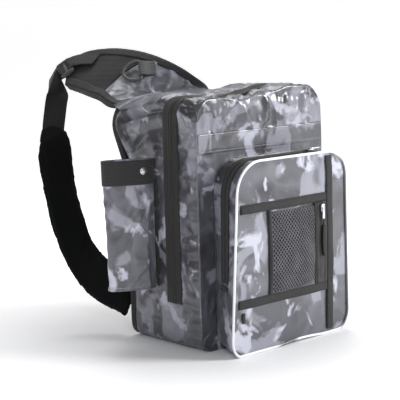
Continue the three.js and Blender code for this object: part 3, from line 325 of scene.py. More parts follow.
# %% Trim materials
def moulded(name, colour, roughness, **settings):
    material, tree, shader = new_material(name, colour, roughness, **settings)
    grain = noise_pattern(tree, object_place(tree), 900, 2, 0.6)
    uneven = noise_pattern(tree, object_place(tree), 45, 2)
    tone = add_ramp(tree, uneven, [(0.35, scaled(colour, 0.8)), (0.65, scaled(colour, 1.2))])
    tree.links.new(tone, shader.inputs["Base Color"])
    add_bump(tree, shader, [(grain, 0.15, 0.0002)])
    return material


def piping_material():
    material, tree, shader = new_material(
        "piping_satin", (0.72, 0.73, 0.75), 0.35, Specular_IOR_Level=0.5, Coat_Weight=0.2
    )
    place = add_node(tree, "ShaderNodeSeparateXYZ", {"Vector": object_place(tree)})
    # Painted shade on the side that is turned away at the right.
    right = map_range(tree, place.outputs["X"], 0.108, 0.122)
    distance = {"operation": "DISTANCE"}
    from_scuff = add_node(tree, "ShaderNodeVectorMath", {0: object_place(tree)}, distance)
    from_scuff.inputs[1].default_value = (-0.018, -0.14, 0.003)
    near_scuff = map_range(tree, from_scuff.outputs["Value"], 0.034, 0.022)
    smudge = noise_pattern(tree, object_place(tree), 30, 3, 0.7)
    dirt = add_ramp(tree, smudge, [(0.4, (0.2, 0.2, 0.2)), (0.5, (1, 1, 1))])
    scuff = calculate(tree, "MULTIPLY", near_scuff, dirt)
    # The darkening is painted shade at the right and a scuffed stretch at the bottom.
    shade_and_scuff = calculate(tree, "MAXIMUM", right, scuff)
    satin = colour_mix(tree, shade_and_scuff, (0.82, 0.83, 0.85), (0.12, 0.12, 0.125))
    tree.links.new(satin, shader.inputs["Base Color"])
    return material


piping_satin = piping_material()
black_plastic = moulded("black_plastic", (0.02, 0.02, 0.021), 0.35, Specular_IOR_Level=0.5)
grey_plastic = moulded("grey_plastic", (0.07, 0.07, 0.07), 0.4, Specular_IOR_Level=0.5)
bright_nickel = moulded("bright_nickel", (0.5, 0.51, 0.53), 0.3, Metallic=1.0)
soft_rubber = moulded("soft_rubber", (0.012, 0.012, 0.013), 0.6, Specular_IOR_Level=0.35)
net_yarn = moulded("net_yarn", (0.15, 0.145, 0.16), 0.45, Specular_IOR_Level=0.5)
pale_thread = moulded("pale_thread", (0.42, 0.43, 0.46), 0.5, Specular_IOR_Level=0.4)
# A dark cloth for the sheet behind the net: painted shade for the inside of the pocket.
painted_shade_cloth = moulded("painted_shade_cloth", (0.014, 0.0135, 0.016), 0.55, Specular_IOR_Level=0.4)
dark_thread = moulded("dark_thread", (0.03, 0.03, 0.032), 0.6, Specular_IOR_Level=0.3)
print("trim materials ready")

# %% [markdown]
# ## Helpers for shapes
# Cloth is a skin, so most pieces are grids of points: rows along the piece and columns across it. A
# grid is easy to bend, pinch and crease with a few lines of arithmetic. The helpers below turn rows
# of points into a mesh, give a skin its thickness, push its points out along their normals to make
# folds, and hand the finished piece to the frame.


# %% Mesh helpers
def mesh_object(name, points, faces, material, smooth=True):
    mesh = bpy.data.meshes.new(name)
    mesh.from_pydata([tuple(c * mm for c in p) for p in points], [], faces)
    mesh.update()
    mesh.materials.append(material)
    if smooth:
        mesh.polygons.foreach_set("use_smooth", [True] * len(mesh.polygons))
    made = bpy.data.objects.new(name, mesh)
    bpy.context.scene.collection.objects.link(made)
    return made


def grid_faces(rows, columns, closed):
    faces = []
    across = columns if closed else columns - 1
    for r in range(rows - 1):
        this, above = r * columns, (r + 1) * columns
        for c in range(across):
            d = (c + 1) % columns
            faces.append((this + c, this + d, above + d, above + c))
    return faces


def skin(name, rows, material, closed=False, flip=False):
    points = [p for row in rows for p in row]
    faces = grid_faces(len(rows), len(rows[0]), closed)
    if flip:
        faces = [tuple(reversed(f)) for f in faces]
    return mesh_object(name, points, faces, material)


def thicken(piece, thickness, offset=-1):
    solid = piece.modifiers.new("thickness", "SOLIDIFY")
    solid.thickness = thickness * mm
    solid.offset = offset
    return piece


def fold(piece, height):
    """Moves each point along its normal by height(place in mm, index), in mm."""
    mesh = piece.data
    mesh.update()
    normals = [v.normal.copy() for v in mesh.vertices]
    for v, normal in zip(mesh.vertices, normals):
        v.co += normal * (height(v.co / mm, v.index) * mm)
    mesh.update()
    return piece


def settle(piece):
    """Applies the piece's modifiers, so that its mesh is final."""
    bpy.context.view_layer.update()
    shown = piece.evaluated_get(bpy.context.evaluated_depsgraph_get())
    final = bpy.data.meshes.new_from_object(shown)
    piece.modifiers.clear()
    piece.data = final
    return piece


def hand_over(piece, slot_name, *replaced):
    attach(piece, "root")
    if replaced:
        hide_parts(*replaced)
    return piece


def ease(t):
    t = min(max(t, 0), 1)
    return t * t * (3 - 2 * t)


def mix(a, b, t):
    return a + (b - a) * t


def crease(place, size, seed, stretch=(1, 1, 1)):
    """Sharp-topped folds, from 0 in the valleys to 1 on the ridges, about size mm apart."""
    p = Vector(place[i] * stretch[i] / size for i in range(3))
    p += Vector((seed * 7.3, seed * 3.1, seed * 5.7))
    p += Vector((noise.noise(p * 0.7), noise.noise(p * 0.7 + Vector((9, 9, 9))), 0)) * 0.6
    return 1 - min(abs(noise.noise(p)) * 2.6, 1)


def spokes(side, other, count, first=0):
    """Directions spread evenly round a circle, from side towards other."""
    turns = [(k + first) / count * 2 * math.pi for k in range(count)]
    return [side * math.cos(turn) + other * math.sin(turn) for turn in turns]


print("shape helpers ready")

# %% [markdown]
# ## The body's form
# The body is a loft: one rounded outline, seen from the front, that is carried from the front panel to
# the padded back. Its top edge is wavy, because the cloth is gathered there, and its upper left
# shoulder is drawn back by the yoke. The numbers repeat the CAD sizes, in millimetres, but the loft
# has many more rows, so that it can hold folds.

# %% Body outline
half_width = 137
front_y = -78
body_depth = 156
body_height = 389
seam_drop = 52
# The top edge's wave: share of the half width, and the rise as a share of the height.
top_wave = [
    (-1, 0), (-0.7, 0.003), (-0.3, -0.012), (-0.05, -0.002),
    (0.2, 0.012), (0.5, 0.03), (0.75, 0.026), (1, 0),
]
# The gathers below it: place and half width as shares of the half width, and the height.
gathers = [
    (-0.62, 0.12, 0.35), (-0.26, 0.1, 0.8), (0.08, 0.11, 0.7),
    (0.31, 0.1, 1), (0.54, 0.1, 0.9), (0.7, 0.07, 1),
]


def wave_rise(at):
    for (a, low), (b, high) in zip(top_wave, top_wave[1:]):
        if at <= b:
            return mix(low, high, ease((at - a) / (b - a)))
    return top_wave[-1][1]


def rounded_outline(corners, corner_steps, side_steps):
    """Corners as (x, z, radius), bottom left, top left, top right, bottom right."""
    outline = []
    for k, (x, z, r) in enumerate(corners):
        at = Vector((x, z))
        to_last = (Vector(corners[k - 1][:2]) - at).normalized()
        to_next = (Vector(corners[(k + 1) % 4][:2]) - at).normalized()
        for i in range(corner_steps + 1):
            turn = i / corner_steps * math.pi / 2
            outline.append(at + to_last * r * (1 - math.sin(turn)) + to_next * r * (1 - math.cos(turn)))
        start = outline[-1]
        x, z, r = corners[(k + 1) % 4]
        end = Vector((x, z)) - to_next * r
        steps = side_steps[k]
        outline += [start.lerp(end, i / steps) for i in range(1, steps)]
    return outline


body_steps = (10, (70, 60, 66, 40))


def plain_outline(share, steps=body_steps):
    left_top = mix(28, 75, ease((share - 0.55) / 0.45))
    w, h = half_width, body_height
    corners = [(-w, 0, 22), (-w, h, left_top), (w, h, 28), (w, 0, 22)]
    return rounded_outline(corners, *steps)


def body_outline(share, steps=body_steps):
    bulge = math.sin(math.pi * min(share * 1.15, 1)) * 0.6 + 0.4
    fade = 1 - ease((share - 0.8) / 0.15)
    outline = []
    for p in plain_outline(share, steps):
        high = ease((p.y / body_height - 0.8) / 0.2)
        rise = wave_rise(p.x / half_width) * body_height * high * fade
        shoulder = math.exp(-(((p.y / body_height - 0.78) / 0.2) ** 2))
        right = ease(p.x / half_width) * shoulder * 9 * bulge * fade
        outline.append(Vector((p.x + right, p.y + rise)))
    return outline


def pull_back(x, z):
    up = ease((z / body_height - 0.7) / 0.24)
    left = ease((-x / half_width + 0.1) / 1.05)
    return 52 * up * left


def front_surface(x, z):
    above = (z - (body_height - seam_drop)) / seam_drop
    edge = 1 - ease((abs(x) / half_width - 0.74) / 0.1)
    strip = edge * ease(above / 0.2) * (1 - ease((above - 0.75) / 0.25))
    folds = sum(high * math.exp(-(((x / half_width - at) / half) ** 2)) for at, half, high in gathers)
    return front_y - 4 * folds * strip


def body_ring(share):
    back = ease((share - 0.5) / 0.5)
    return [
        Vector((p.x, front_y + share * body_depth + pull_back(p.x, p.y) * back, p.y))
        for p in body_outline(share)
    ]


print(len(plain_outline(0)), "points round the body")

# %% [markdown]
# ## The main body
# The skin starts as small rings in the middle of the front panel, grows to the panel's edge, turns
# the corner and runs back to the rim. Folds are pushed into it where the real cloth has them: long
# gathers above the front seam, tension folds where the yoke pulls the left shoulder, and crumples
# down the soft gusset. On the left side the yoke draws a roll of cloth over the gusset, which ends below
# in a deep crease. A groove beside each seam makes the seam read as sewn, and a shallow channel leaves
# room for the zip. Last, the skin gets its wall.

# %% Main body skin
seam_scale = 1 - 2 * seam_drop / body_height
face_scales = [0.03, 0.15, 0.3, 0.42, 0.5, 0.56, 0.61, 0.65, 0.685, 0.71, seam_scale - 0.004]
face_scales += [mix(seam_scale, 1, i / 16) for i in range(16)]
depth_shares = [0, 0.006, 0.014, 0.024, 0.036] + [mix(0.036, 1, i / 34) for i in range(1, 35)]
plain_front = plain_outline(0)
waved_front = body_outline(0)


def face_ring(scale):
    wave = max(scale - seam_scale, 0) / (1 - seam_scale)
    ring = []
    for p, w in zip(plain_front, waved_front):
        x = p.x * scale + (w.x - p.x) * wave
        z = mix(body_height / 2, p.y, scale) + (w.y - p.y) * wave
        ring.append(Vector((x, front_surface(x, z), z)))
    return ring


body_rows = [face_ring(scale) for scale in face_scales] + [body_ring(share) for share in depth_shares]
body_skin = skin("bag_body", body_rows, body_cloth, closed=True)
columns = len(body_rows[0])
face_rows = len(face_scales)
zip_from, zip_to, zip_foot = -34, -1, 72


def near_line(y, z, start, end, width):
    """1 on the line from start to end in the side view, fading to 0 at width mm from it."""
    a, b, p = Vector(start), Vector(end), Vector((y, z))
    t = min(max((p - a).dot(b - a) / (b - a).length_squared, 0), 1)
    off = (p - a.lerp(b, t)).length / width
    return math.exp(-off * off)


# Folds on the left side, where the yoke pulls: start and end as (y, z), width and height.
side_folds = [
    ((0, 366), (104, 345), 8, 2.5),
    ((2, 346), (92, 322), 5, -3.5),
    ((4, 330), (80, 296), 8, 3),
    ((6, 312), (60, 268), 5, -2.5),
    ((8, 296), (50, 250), 8, 2),
    ((8, 64), (70, 74), 2.2, -1.8),
    ((-70, 70), (-2, 69), 2, -1.6),
]


roll_height, pit_depth = 9, 13


def side_ledge(place):
    """The roll of cloth that the yoke draws over the side: it ends below in a sharp, deep crease."""
    if place.x > 0:
        return 0
    start, end = Vector((-2, 378)), Vector((124, 356))
    along = (end - start).normalized()
    off = Vector((place.y, place.z)) - start
    above = off.x * -along.y + off.y * along.x
    length = off.dot(along)
    ends = ease((length + 6) / 14) * (1 - ease((length - 112) / 14)) * ease(-place.x / 40)
    roll = roll_height * ease(above / 3 + 0.5) * math.exp(-max(above, 0) / 20)
    pit = pit_depth * math.exp(-(((above + 5) / 5) ** 2))
    return (roll - pit) * ends


def body_folds(place, index):
    x, y, z = place
    row = index // columns
    on_face = row < face_rows
    low = 1 - ease((z - 6) / 30)
    if on_face:
        above = (z - (body_height - seam_drop)) / seam_drop
        rim = 1 - ease((abs(x) / half_width - 0.86) / 0.12)
        if above > 0:
            calm = ease(above / 0.1) * (1 - ease((above - 0.9) / 0.1))
            pleats = crease(place, 30, 3, (1, 1, 0.22)) - 0.5
            small = crease(place, 13, 5, (1, 1, 0.35)) - 0.5
            return (5.5 * pleats + 1.8 * small) * calm * rim
        if above > -0.56:
            calm = ease((310 - z) / 8)
            return (1.2 + 2.6 * calm) * (crease(place, 26, 8, (1, 1, 1.2)) - 0.5) * rim
        side = ease((abs(x) / half_width - 0.7) / 0.1) * (1 - ease((abs(x) / half_width - 0.97) / 0.03))
        return side * (2.2 * (crease(place, 26, 9, (1, 1, 0.6)) - 0.5) - 0.5)
    share = depth_shares[row - face_rows]
    depth = share * body_depth
    groove = -2.2 * math.exp(-(((depth - 4.5) / 2.2) ** 2)) + 0.9 * math.exp(-((depth / 1.6) ** 2))
    rear = 1 - ease((share - 0.93) / 0.07)
    in_zip = ease((y - zip_from + 1) / 1.5) * ease((zip_to + 1 - y) / 1.5) * ease((z - zip_foot + 1) / 2)
    channel = -1.6 * in_zip
    quiet = (1 - 0.85 * in_zip) * ease(depth / 9) * rear * (1 - 0.6 * low)
    high = ease((z - 150) / 120)
    crumple = 5.2 * (crease(place, 40, 1, (1, 1, 0.8)) - 0.5) * mix(0.7, 1, high)
    fine = 2.6 * (crease(place, 19, 2, (1, 1, 0.9)) - 0.5) * mix(0.6, 1, high)
    wrinkles = 3.6 * (crease(place, 24, 7, (1, 0.45, 1.7)) - 0.5) * ease((zip_from - y) / 6) * (x < 0)
    tension = sum(rise * near_line(y, z, a, b, wide) for a, b, wide, rise in side_folds if x < 0)
    if place.z > 330 and y > 0:
        crumple, fine = crumple * 0.5, fine * 0.5
    ledge = side_ledge(place) * ease(depth / 9) * (1 - 0.9 * in_zip)
    return groove + channel + ledge + (crumple + fine + wrinkles + tension) * quiet


fold(body_skin, body_folds)
thicken(body_skin, 2.2)
hand_over(body_skin, "camo", "main_shell")
print("body skin:", len(body_skin.data.polygons), "faces")

# %% [markdown]
# ## Stitches
# A seam shows as a row of short threads. Each one here is a small six-sided dash, laid along a path
# at an even pitch and sunk a little into the cloth. One mesh holds a whole row, so a long seam is
# still one piece. The first row is the pale one beside the body's front left edge. Its path is read
# from the folded skin, so it follows each fold.


# %% Stitch helper
def along_path(path, pitch):
    """Points every pitch mm along a list of (place, normal), with the direction there."""
    found = []
    left = 0.0
    for (a, na), (b, nb) in zip(path, path[1:]):
        length = (b - a).length
        if length == 0:
            continue
        while left <= length:
            t = left / length
            found.append((a.lerp(b, t), na.lerp(nb, t).normalized(), (b - a).normalized()))
            left += pitch
        left -= length
    return found


def stitch_row(name, path, material, pitch=3.4, length=2.4, radius=0.32, lift=0.15):
    points, faces = [], []
    for at, normal, along in along_path(path, pitch):
        side = along.cross(normal).normalized()
        first = len(points)
        for step, scale in ((-0.5, 0.45), (-0.25, 1), (0.25, 1), (0.5, 0.45)):
            arch = lift if scale == 1 else -0.1
            middle = at + along * length * step + normal * arch
            points += [middle + spoke * radius * scale for spoke in spokes(side, normal, 6)]
        faces += [tuple(first + k for k in face) for face in grid_faces(4, 6, True)]
        faces.append(tuple(first + k for k in reversed(range(6))))
        faces.append(tuple(first + 18 + k for k in range(6)))
    return mesh_object(name, points, faces, material)


def edge_path(first, last, row, outward):
    """Places on the folded body skin in one row of the loft, between two columns."""
    mesh = body_skin.data
    found = []
    for c in range(first, last):
        v = mesh.vertices[row * columns + c]
        found.append((v.co / mm, (v.normal + outward).normalized()))
    return found


edge_foot, edge_head = body_steps[0] + 4, body_steps[0] + body_steps[1][0] - 1
seam_path = edge_path(edge_foot, edge_head, face_rows + 2, Vector((-0.3, -0.3, 0)))
hand_over(stitch_row("left_seam_stitches", seam_path, pale_thread, 3.4, 2.6, 0.45), "camo")
print("stitch helper ready, left seam sewn over", round(seam_path[-1][0].z - seam_path[0][0].z), "mm")

# %% [markdown]
# ## The front pocket's form
# The pocket is a second, smaller loft on the front of the body: a tray with round corners and a gently
# crowned face. The same outline helper draws it. The face is what the eye meets first, so it gets
# soft, wide bulges as if something light were in the pocket, and the gusset gets short puckers
# where its seams pull.

# %% Pocket outline and face
pocket_depth = 60
pocket_height = 295
pocket_steps = (10, (60, 52, 60, 52))


def pocket_left(share, z):
    return mix(mix(-0.765, -0.955, share), mix(-0.765, -0.81, share), z / pocket_height) * half_width


def pocket_outline(share):
    corners = [
        (pocket_left(share, 0), 0, mix(28, 27, share)),
        (pocket_left(share, pocket_height), pocket_height, mix(52, 46, share)),
        (mix(0.9, 0.93, share) * half_width, pocket_height, mix(46, 40, share)),
        (mix(0.93, 0.965, share) * half_width, 0, mix(36, 35, share)),
    ]
    outline = []
    for p in rounded_outline(corners, *pocket_steps):
        low = 1 - ease(p.y / (pocket_height * 0.12))
        across = math.cos(min(abs(p.x / half_width - 0.15), 0.75) / 0.75 * math.pi)
        outline.append(Vector((p.x, p.y + 6 * low * (1 + across) / 2)))
    return outline


def pocket_face(x, z):
    across = 1 - min((x / half_width / 0.95) ** 2, 1)
    up = 1 - min((z / pocket_height / 0.5 - 1) ** 2, 1)
    return front_y - pocket_depth - 4 * across * up


def pocket_ring(share):
    return [Vector((p.x, front_y - 0.3 - share * pocket_depth, p.y)) for p in pocket_outline(share)]


pocket_edge = pocket_ring(1)
print(len(pocket_edge), "points round the pocket")

# %% [markdown]
# ## The pocket's skin
# Rows of points grow from the middle of the face to its edge and then run back along the gusset to the
# body. The face's bulges are kept in a function of their own, because the bands and the net zip,
# which lie on the face, have to follow it.


# %% Pocket skin
def soft_face(x, z):
    """The face with its wide bulges, as a shift towards the viewer in mm."""
    place = Vector((x, 0, z))
    edge = min(x + 112, 124 - x, z - 10, 288 - z)
    inner = ease(edge / 26)
    upper = ease((z - 236) / 14)
    lower = 1 - ease((z - 66) / 12)
    wide = 2.4 * noise.noise(place / 62 + Vector((3, 1, 8)))
    pleat = 1.6 * (crease(place, 44, 21, (1, 1, 0.45)) - 0.5)
    return inner * (wide + pleat * max(upper, lower, 0.45))


face_steps = [0.02, 0.1, 0.2, 0.3, 0.4, 0.5, 0.58, 0.66, 0.73]
face_steps += [0.79, 0.84, 0.885, 0.92, 0.945, 0.965, 0.98, 0.99]
side_shares = [1 - i / 22 for i in range(23)]
pocket_rows = []
for scale in face_steps:
    row = []
    for p in pocket_edge:
        x, z = p.x * scale, mix(pocket_height / 2, p.z, scale)
        row.append(Vector((x, pocket_face(x, z) - soft_face(x, z), z)))
    pocket_rows.append(row)
pocket_rows += [pocket_ring(share) for share in side_shares]
pocket_skin = skin("front_pocket", pocket_rows, pocket_cloth, closed=True)
pocket_columns = len(pocket_edge)
pocket_zip_low, pocket_zip_high = 20 / 60, 40 / 60


def pocket_folds(place, index):
    row = index // pocket_columns
    if row < len(face_steps):
        return 0
    share = side_shares[row - len(face_steps)]
    x, _, z = place
    zipped = (x < 90 and z > 108) and (x < 0 or z > 200)
    in_zip = 0
    if zipped:
        in_zip = ease((share - pocket_zip_low) / 0.03 + 1) * ease((pocket_zip_high - share) / 0.03 + 1)
    edge = ease(share / 0.12) * ease((1 - share) / 0.1)
    pucker = 1.7 * (crease(place, 21, 31, (1, 0.5, 1)) - 0.5)
    return edge * (1 - in_zip) * pucker - 1.3 * in_zip


fold(pocket_skin, pocket_folds)
thicken(pocket_skin, 2.2)
hand_over(pocket_skin, "camo", "pocket_shell")
print("pocket skin:", len(pocket_skin.data.polygons), "faces")

# %% [markdown]
# ## Zips
# Both big zips are coil zips with the coil turned inwards, so what shows is the tape: two flat
# margins, two raised ridges over the coil, and a thin gap between them. The tape is one profile
# swept along the loft, so it bends with the body. The profile is a list of places across the tape
# with a height for each.


# %% Zip tape
def tape_on_loft(ring_at, depths, picks, heights):
    """Rows of a strip over the picked columns of a loft, at shares of its depth, heights in mm."""
    rings = [ring_at(share) for share in depths]
    before = [ring_at(share + 0.004) for share in depths]
    count = len(rings[0])
    rows = []
    for i in picks:
        row = []
        for ring, other, height in zip(rings, before, heights):
            along = ring[(i + 1) % count] - ring[(i - 1) % count]
            across = other[i] - ring[i]
            normal = along.cross(across).normalized()
            row.append(ring[i] + normal * height)
        rows.append(row)
    return rows


ridge_profile = [
    (0.2, -1.2), (0.6, 0.0), (1.6, 0.15), (4.0, 0.1), (7.0, 0.1), (7.6, 0.35), (8.4, 0.1),
    (12.6, 0.1), (13.2, 0.9), (14.4, 1.25), (15.6, 1.0), (16.2, 0.15), (16.8, 0.15), (17.4, 1.0),
    (18.6, 1.25), (19.8, 0.9), (20.4, 0.1), (24.6, 0.1), (25.4, 0.35), (26.0, 0.1), (29.0, 0.1),
    (31.4, 0.15), (32.4, 0.0), (32.8, -1.2),
]
edge = body_ring(0.4)
zip_end = zip_foot + 0.5
left_foot = max(i for i in range(columns // 2) if edge[i].x < 0 and edge[i].z < zip_end)
right_foot = min(i for i in range(columns // 2, columns) if edge[i].x > 0 and edge[i].z < zip_end)
main_depths = [(zip_from - front_y + at) / body_depth for at, _ in ridge_profile]
main_heights = [high * 1.15 - 0.5 for _, high in ridge_profile]
main_rows = tape_on_loft(body_ring, main_depths, range(left_foot, right_foot + 1), main_heights)
main_tape = skin("main_zip_tape", main_rows, zip_tape)


def tape_waver(place, index):
    return 0.9 * noise.noise(place / 46 + Vector((4, 4, 4))) - 0.2


fold(main_tape, tape_waver)
thicken(main_tape, 0.9)
hand_over(main_tape, "zip_tape", "main_zip")
print("main zip:", len(main_rows), "rows")

# %% [markdown]
# ## The pocket's zip
# The pocket's tape is narrower, so the same profile is drawn in to 20 mm. It starts part of the way up
# the left side, runs over the top and ends at the right. The picked columns of the loft say so.

# %% Pocket zip
tape_share = 20 / 33
pocket_depths = [(40 - at * tape_share) / pocket_depth for at, _ in ridge_profile]
pocket_heights = [high * 0.8 - 0.35 for _, high in ridge_profile]
edge = pocket_ring(0.5)
first = min(i for i in range(pocket_columns) if edge[i].x < 0 and edge[i].z > 108)
last = max(i for i in range(pocket_columns) if edge[i].x < 90 and edge[i].z > 200)
pocket_picks = range(first, last + 1)
pocket_zip_rows = tape_on_loft(pocket_ring, pocket_depths, pocket_picks, pocket_heights)
pocket_tape = skin("pocket_zip_tape", pocket_zip_rows, zip_tape, flip=True)
thicken(pocket_tape, 0.8)
hand_over(pocket_tape, "zip_tape", "pocket_zip")
print("pocket zip:", len(pocket_zip_rows), "rows")

# %% [markdown]
# ## Piping
# Piping is a cord in a strip of satin cloth, sewn into the seam round the pocket's face. A tube that
# follows the seam makes the cord. The rest of the strip is hidden in the seam, so it isn't made. The
# tube is round, with a faint waver in its thickness. Its colours come from its material.

# %% Pocket piping
piping_rows = []
for i, p in enumerate(pocket_edge):
    before, after = pocket_edge[i - 1], pocket_edge[(i + 1) % pocket_columns]
    along = (after - before).normalized()
    out = Vector((-along.z, 0, along.x))
    front = Vector((0, -1, 0))
    centre = p + out * 0.8 + front * 0.8
    centre.z = max(centre.z, 2.4)
    ring = []
    for k, spoke in enumerate(spokes(out, front, 12)):
        radius = 2.0 + 0.12 * noise.noise(Vector((i * 0.35, k * 0.4, 2)))
        ring.append(centre + spoke * radius)
    piping_rows.append(ring)
piping_rows.append(piping_rows[0])
piping = skin("pocket_piping_cord", piping_rows, piping_satin, closed=True, flip=True)
weld = bmesh.new()
weld.from_mesh(piping.data)
bmesh.ops.remove_doubles(weld, verts=weld.verts, dist=0.00001)
weld.to_mesh(piping.data)
weld.free()
hand_over(piping, "piping", "pocket_piping")
print("piping goes round in", len(piping_rows) - 1, "steps")

# %% [markdown]
# ## Bands on the face
# Three lengths of black webbing are sewn flat on the pocket's face. Real webbing isn't a flat plate:
# its edges are thicker, and it dips at each line of stitches. So each band is a grid over the
# face, with a profile across it, and two rows of stitches run along its edges.


# %% Bands
def on_pocket(x, z, out):
    """A place out mm in front of the pocket's face, where bands and tapes lie."""
    return Vector((x, pocket_face(x, z) - 0.35 - out - max(soft_face(x, z), -0.2), z))


def face_band(name, corners, across_count, along_count, node_name, material):
    """corners are (x, z) for start low, start high, end low and end high."""
    a, b, c, d = (Vector(p) for p in corners)
    thick, stitch_in = 1.5, 2.0
    rows = []
    rails = {stitch_in: [], -stitch_in: []}
    for r in range(along_count + 1):
        t = r / along_count
        low, high = a.lerp(c, t), b.lerp(d, t)
        width = (high - low).length
        row = []
        for k in range(across_count + 1):
            s = k / across_count
            p = low.lerp(high, s)
            edge = min(s, 1 - s) * width
            dip = 0.3 * math.exp(-(((edge - stitch_in) / 0.7) ** 2))
            row.append(on_pocket(p.x, p.y, thick * (0.35 + 0.65 * ease(edge / 0.8)) - dip))
        rows.append(row)
        for from_edge, rail in rails.items():
            s = from_edge / width if from_edge > 0 else 1 + from_edge / width
            p = low.lerp(high, s)
            rail.append((on_pocket(p.x, p.y, thick - 0.15), Vector((0, -1, 0))))
    band = skin(name, rows, material)
    thicken(band, thick * 0.8, 1)
    hand_over(band, "webbing", node_name)
    for k, rail in enumerate(rails.values()):
        hand_over(stitch_row(f"{name}_stitches_{k}", rail, dark_thread), "webbing")


left, right = -108.2, 80.6
upper_corners = [(left, 218), (left, 232), (right, 218), (right, 232)]
lower_corners = [(left - 8, 74), (left - 8, 88), (right, 74), (right, 88)]
upright_corners = [(80.9, 9), (94.9, 9), (80.9, 290), (94.9, 290)]
face_band("upper_band", upper_corners, 12, 60, "band_upper", webbing_black)
face_band("lower_band", lower_corners, 12, 60, "band_lower", webbing_black)
face_band("upright_band", upright_corners, 12, 80, "band_vertical", webbing_flat)
print("three bands with their stitches")

# %% [markdown]
# ## The net pocket
# A knitted net has diamond holes. Its yarns run in zigzags that meet their neighbours at every
# turn. So the net is drawn as short, thin ribbons between the points of a slanted lattice. The lattice
# lies on a bulging surface with a few soft dents, because the net is slack. A dark sheet just behind
# it stands for the shade inside the pocket.


# %% Net surface
net_left, net_right, net_foot, net_head = -53, 54.7, 88.3, 217.7


def net_lift(x, z):
    across = math.sin(math.pi * min(max((x - net_left) / 108, 0), 1))
    up = math.sin(math.pi * min(max((z - net_foot) / (net_head - net_foot), 0), 1))
    slack = 0.75 + 0.45 * noise.noise(Vector((x / 30, 2.2, z / 34)))
    return 0.5 + 8 * math.sqrt(max(across * up, 0)) * slack


def net_point(x, z, lift=0.0):
    return Vector((x, pocket_face(x, z) - net_lift(x, z) - lift, z))


cell_x, cell_z = 6.2, 7.4
yarn = 0.62
net_points, net_faces = [], []
columns_of_net = int((net_right - net_left) / cell_x)
rows_of_net = int((net_head - net_foot) / (cell_z / 2))
for i in range(columns_of_net + 1):
    for j in range(rows_of_net):
        for lean in (1, -1):
            x0 = net_left + (i + (0 if j % 2 == 0 else 0.5 * lean)) * cell_x
            x1 = net_left + (i + (0.5 * lean if j % 2 == 0 else 0)) * cell_x
            z0, z1 = net_foot + j * cell_z / 2, net_foot + (j + 1) * cell_z / 2
            if min(x0, x1) < net_left or max(x0, x1) > net_right:
                continue
            a, b = net_point(x0, z0), net_point(x1, z1)
            along = (b - a).normalized()
            side = along.cross(Vector((0, -1, 0))).normalized()
            top = side.cross(along)
            start = len(net_points)
            for p in (a - along * 0.3, b + along * 0.3):
                net_points += [p + spoke * yarn for spoke in spokes(side, top * 0.75, 4, 0.5)]
            for k in range(4):
                m = (k + 1) % 4
                net_faces.append((start + k, start + m, start + 4 + m, start + 4 + k))
            net_faces.append((start + 3, start + 2, start + 1, start))
            net_faces.append((start + 4, start + 5, start + 6, start + 7))
# The dark sheet behind the net is painted shade, seen through the net's holes.
net_shade_rows = []
net_shade_across = [mix(net_left + 1, net_right - 1, c / 24) for c in range(25)]
for r in range(31):
    z = mix(net_foot + 1, net_head - 1, r / 30)
    net_shade_rows.append([net_point(x, z, -1.3) for x in net_shade_across])
net_shade_sheet = skin("net_painted_shade", net_shade_rows, painted_shade_cloth)
hand_over(net_shade_sheet, "net")
net = mesh_object("net_pocket", net_points, net_faces, net_yarn)
hand_over(net, "net", "mesh_panel")
print("net:", len(net_faces), "faces")

# %% [markdown]
# ## The net's borders
# A woven border holds the net on its upright sides. Each is a narrow strip over the net, a little
# rounded across. At its head and foot the net ends at the bands, which need no border.


# %% Net borders
def net_border(name, x0, x1, steps=50):
    rows = []
    for r in range(steps + 1):
        z = mix(net_foot, net_head, r / steps)
        shares = [k / 4 for k in range(5)]
        rows.append([net_point(mix(x0, x1, s), z, 0.5 + 0.5 * math.sin(math.pi * s)) for s in shares])
    border = skin(name, rows, webbing_flat)
    thicken(border, 0.9, 1)
    hand_over(border, "webbing")


net_border("net_border_left", net_left, net_left + 6.5)
net_border("net_border_right", net_right - 3, net_right)
print("net borders sewn")

# %% [markdown]
# ## Pieces that keep their CAD form
# The webbing, the covers, the sleeve and the small hard parts already have the right form in the
# CAD model, only with too few faces. A copy of the CAD mesh gets its triangles joined back into
# quads. Its sharp edges are marked with a crease, and a subdivision surface then rounds everything
# except those edges. That is quicker than drawing each piece again, and it can't drift from its
# place.


# %% Refined copies
def refined(name, node_name, material, levels=2, sharp=50, join=True):
    source = cad_nodes[node_name].data
    work = bmesh.new()
    work.from_mesh(source)
    bmesh.ops.remove_doubles(work, verts=work.verts, dist=0.00001)
    bmesh.ops.dissolve_degenerate(work, edges=work.edges, dist=0.00001)
    if join:
        bmesh.ops.join_triangles(
            work,
            faces=work.faces,
            angle_face_threshold=math.radians(35),
            angle_shape_threshold=math.radians(80),
        )
    crease_layer = work.edges.layers.float.new("crease_edge")
    for edge in work.edges:
        if len(edge.link_faces) == 2 and edge.calc_face_angle(0) > math.radians(sharp):
            edge[crease_layer] = 0.9
    mesh = bpy.data.meshes.new(name)
    work.to_mesh(mesh)
    work.free()
    mesh.materials.clear()
    mesh.materials.append(material)
    mesh.polygons.foreach_set("use_smooth", [True] * len(mesh.polygons))
    piece = bpy.data.objects.new(name, mesh)
    bpy.context.scene.collection.objects.link(piece)
    if levels:
        rounding = piece.modifiers.new("rounding", "SUBSURF")
        rounding.levels = levels
        rounding.render_levels = levels
        settle(piece)
        piece.data.materials.clear()
        piece.data.materials.append(material)
    return piece


def push(piece, shift):
    """Moves each point by the vector shift(place in mm), in mm."""
    for v in piece.data.vertices:
        v.co += shift(v.co / mm) * mm
    piece.data.update()
    return piece


print("refining helper ready")

# %% [markdown]
# ## The front strip
# Below the front seam a smooth strip of the same cloth is sewn flat. Its upper edge is folded under,
# which leaves a low ridge, and a pale line of stitches runs along its foot.

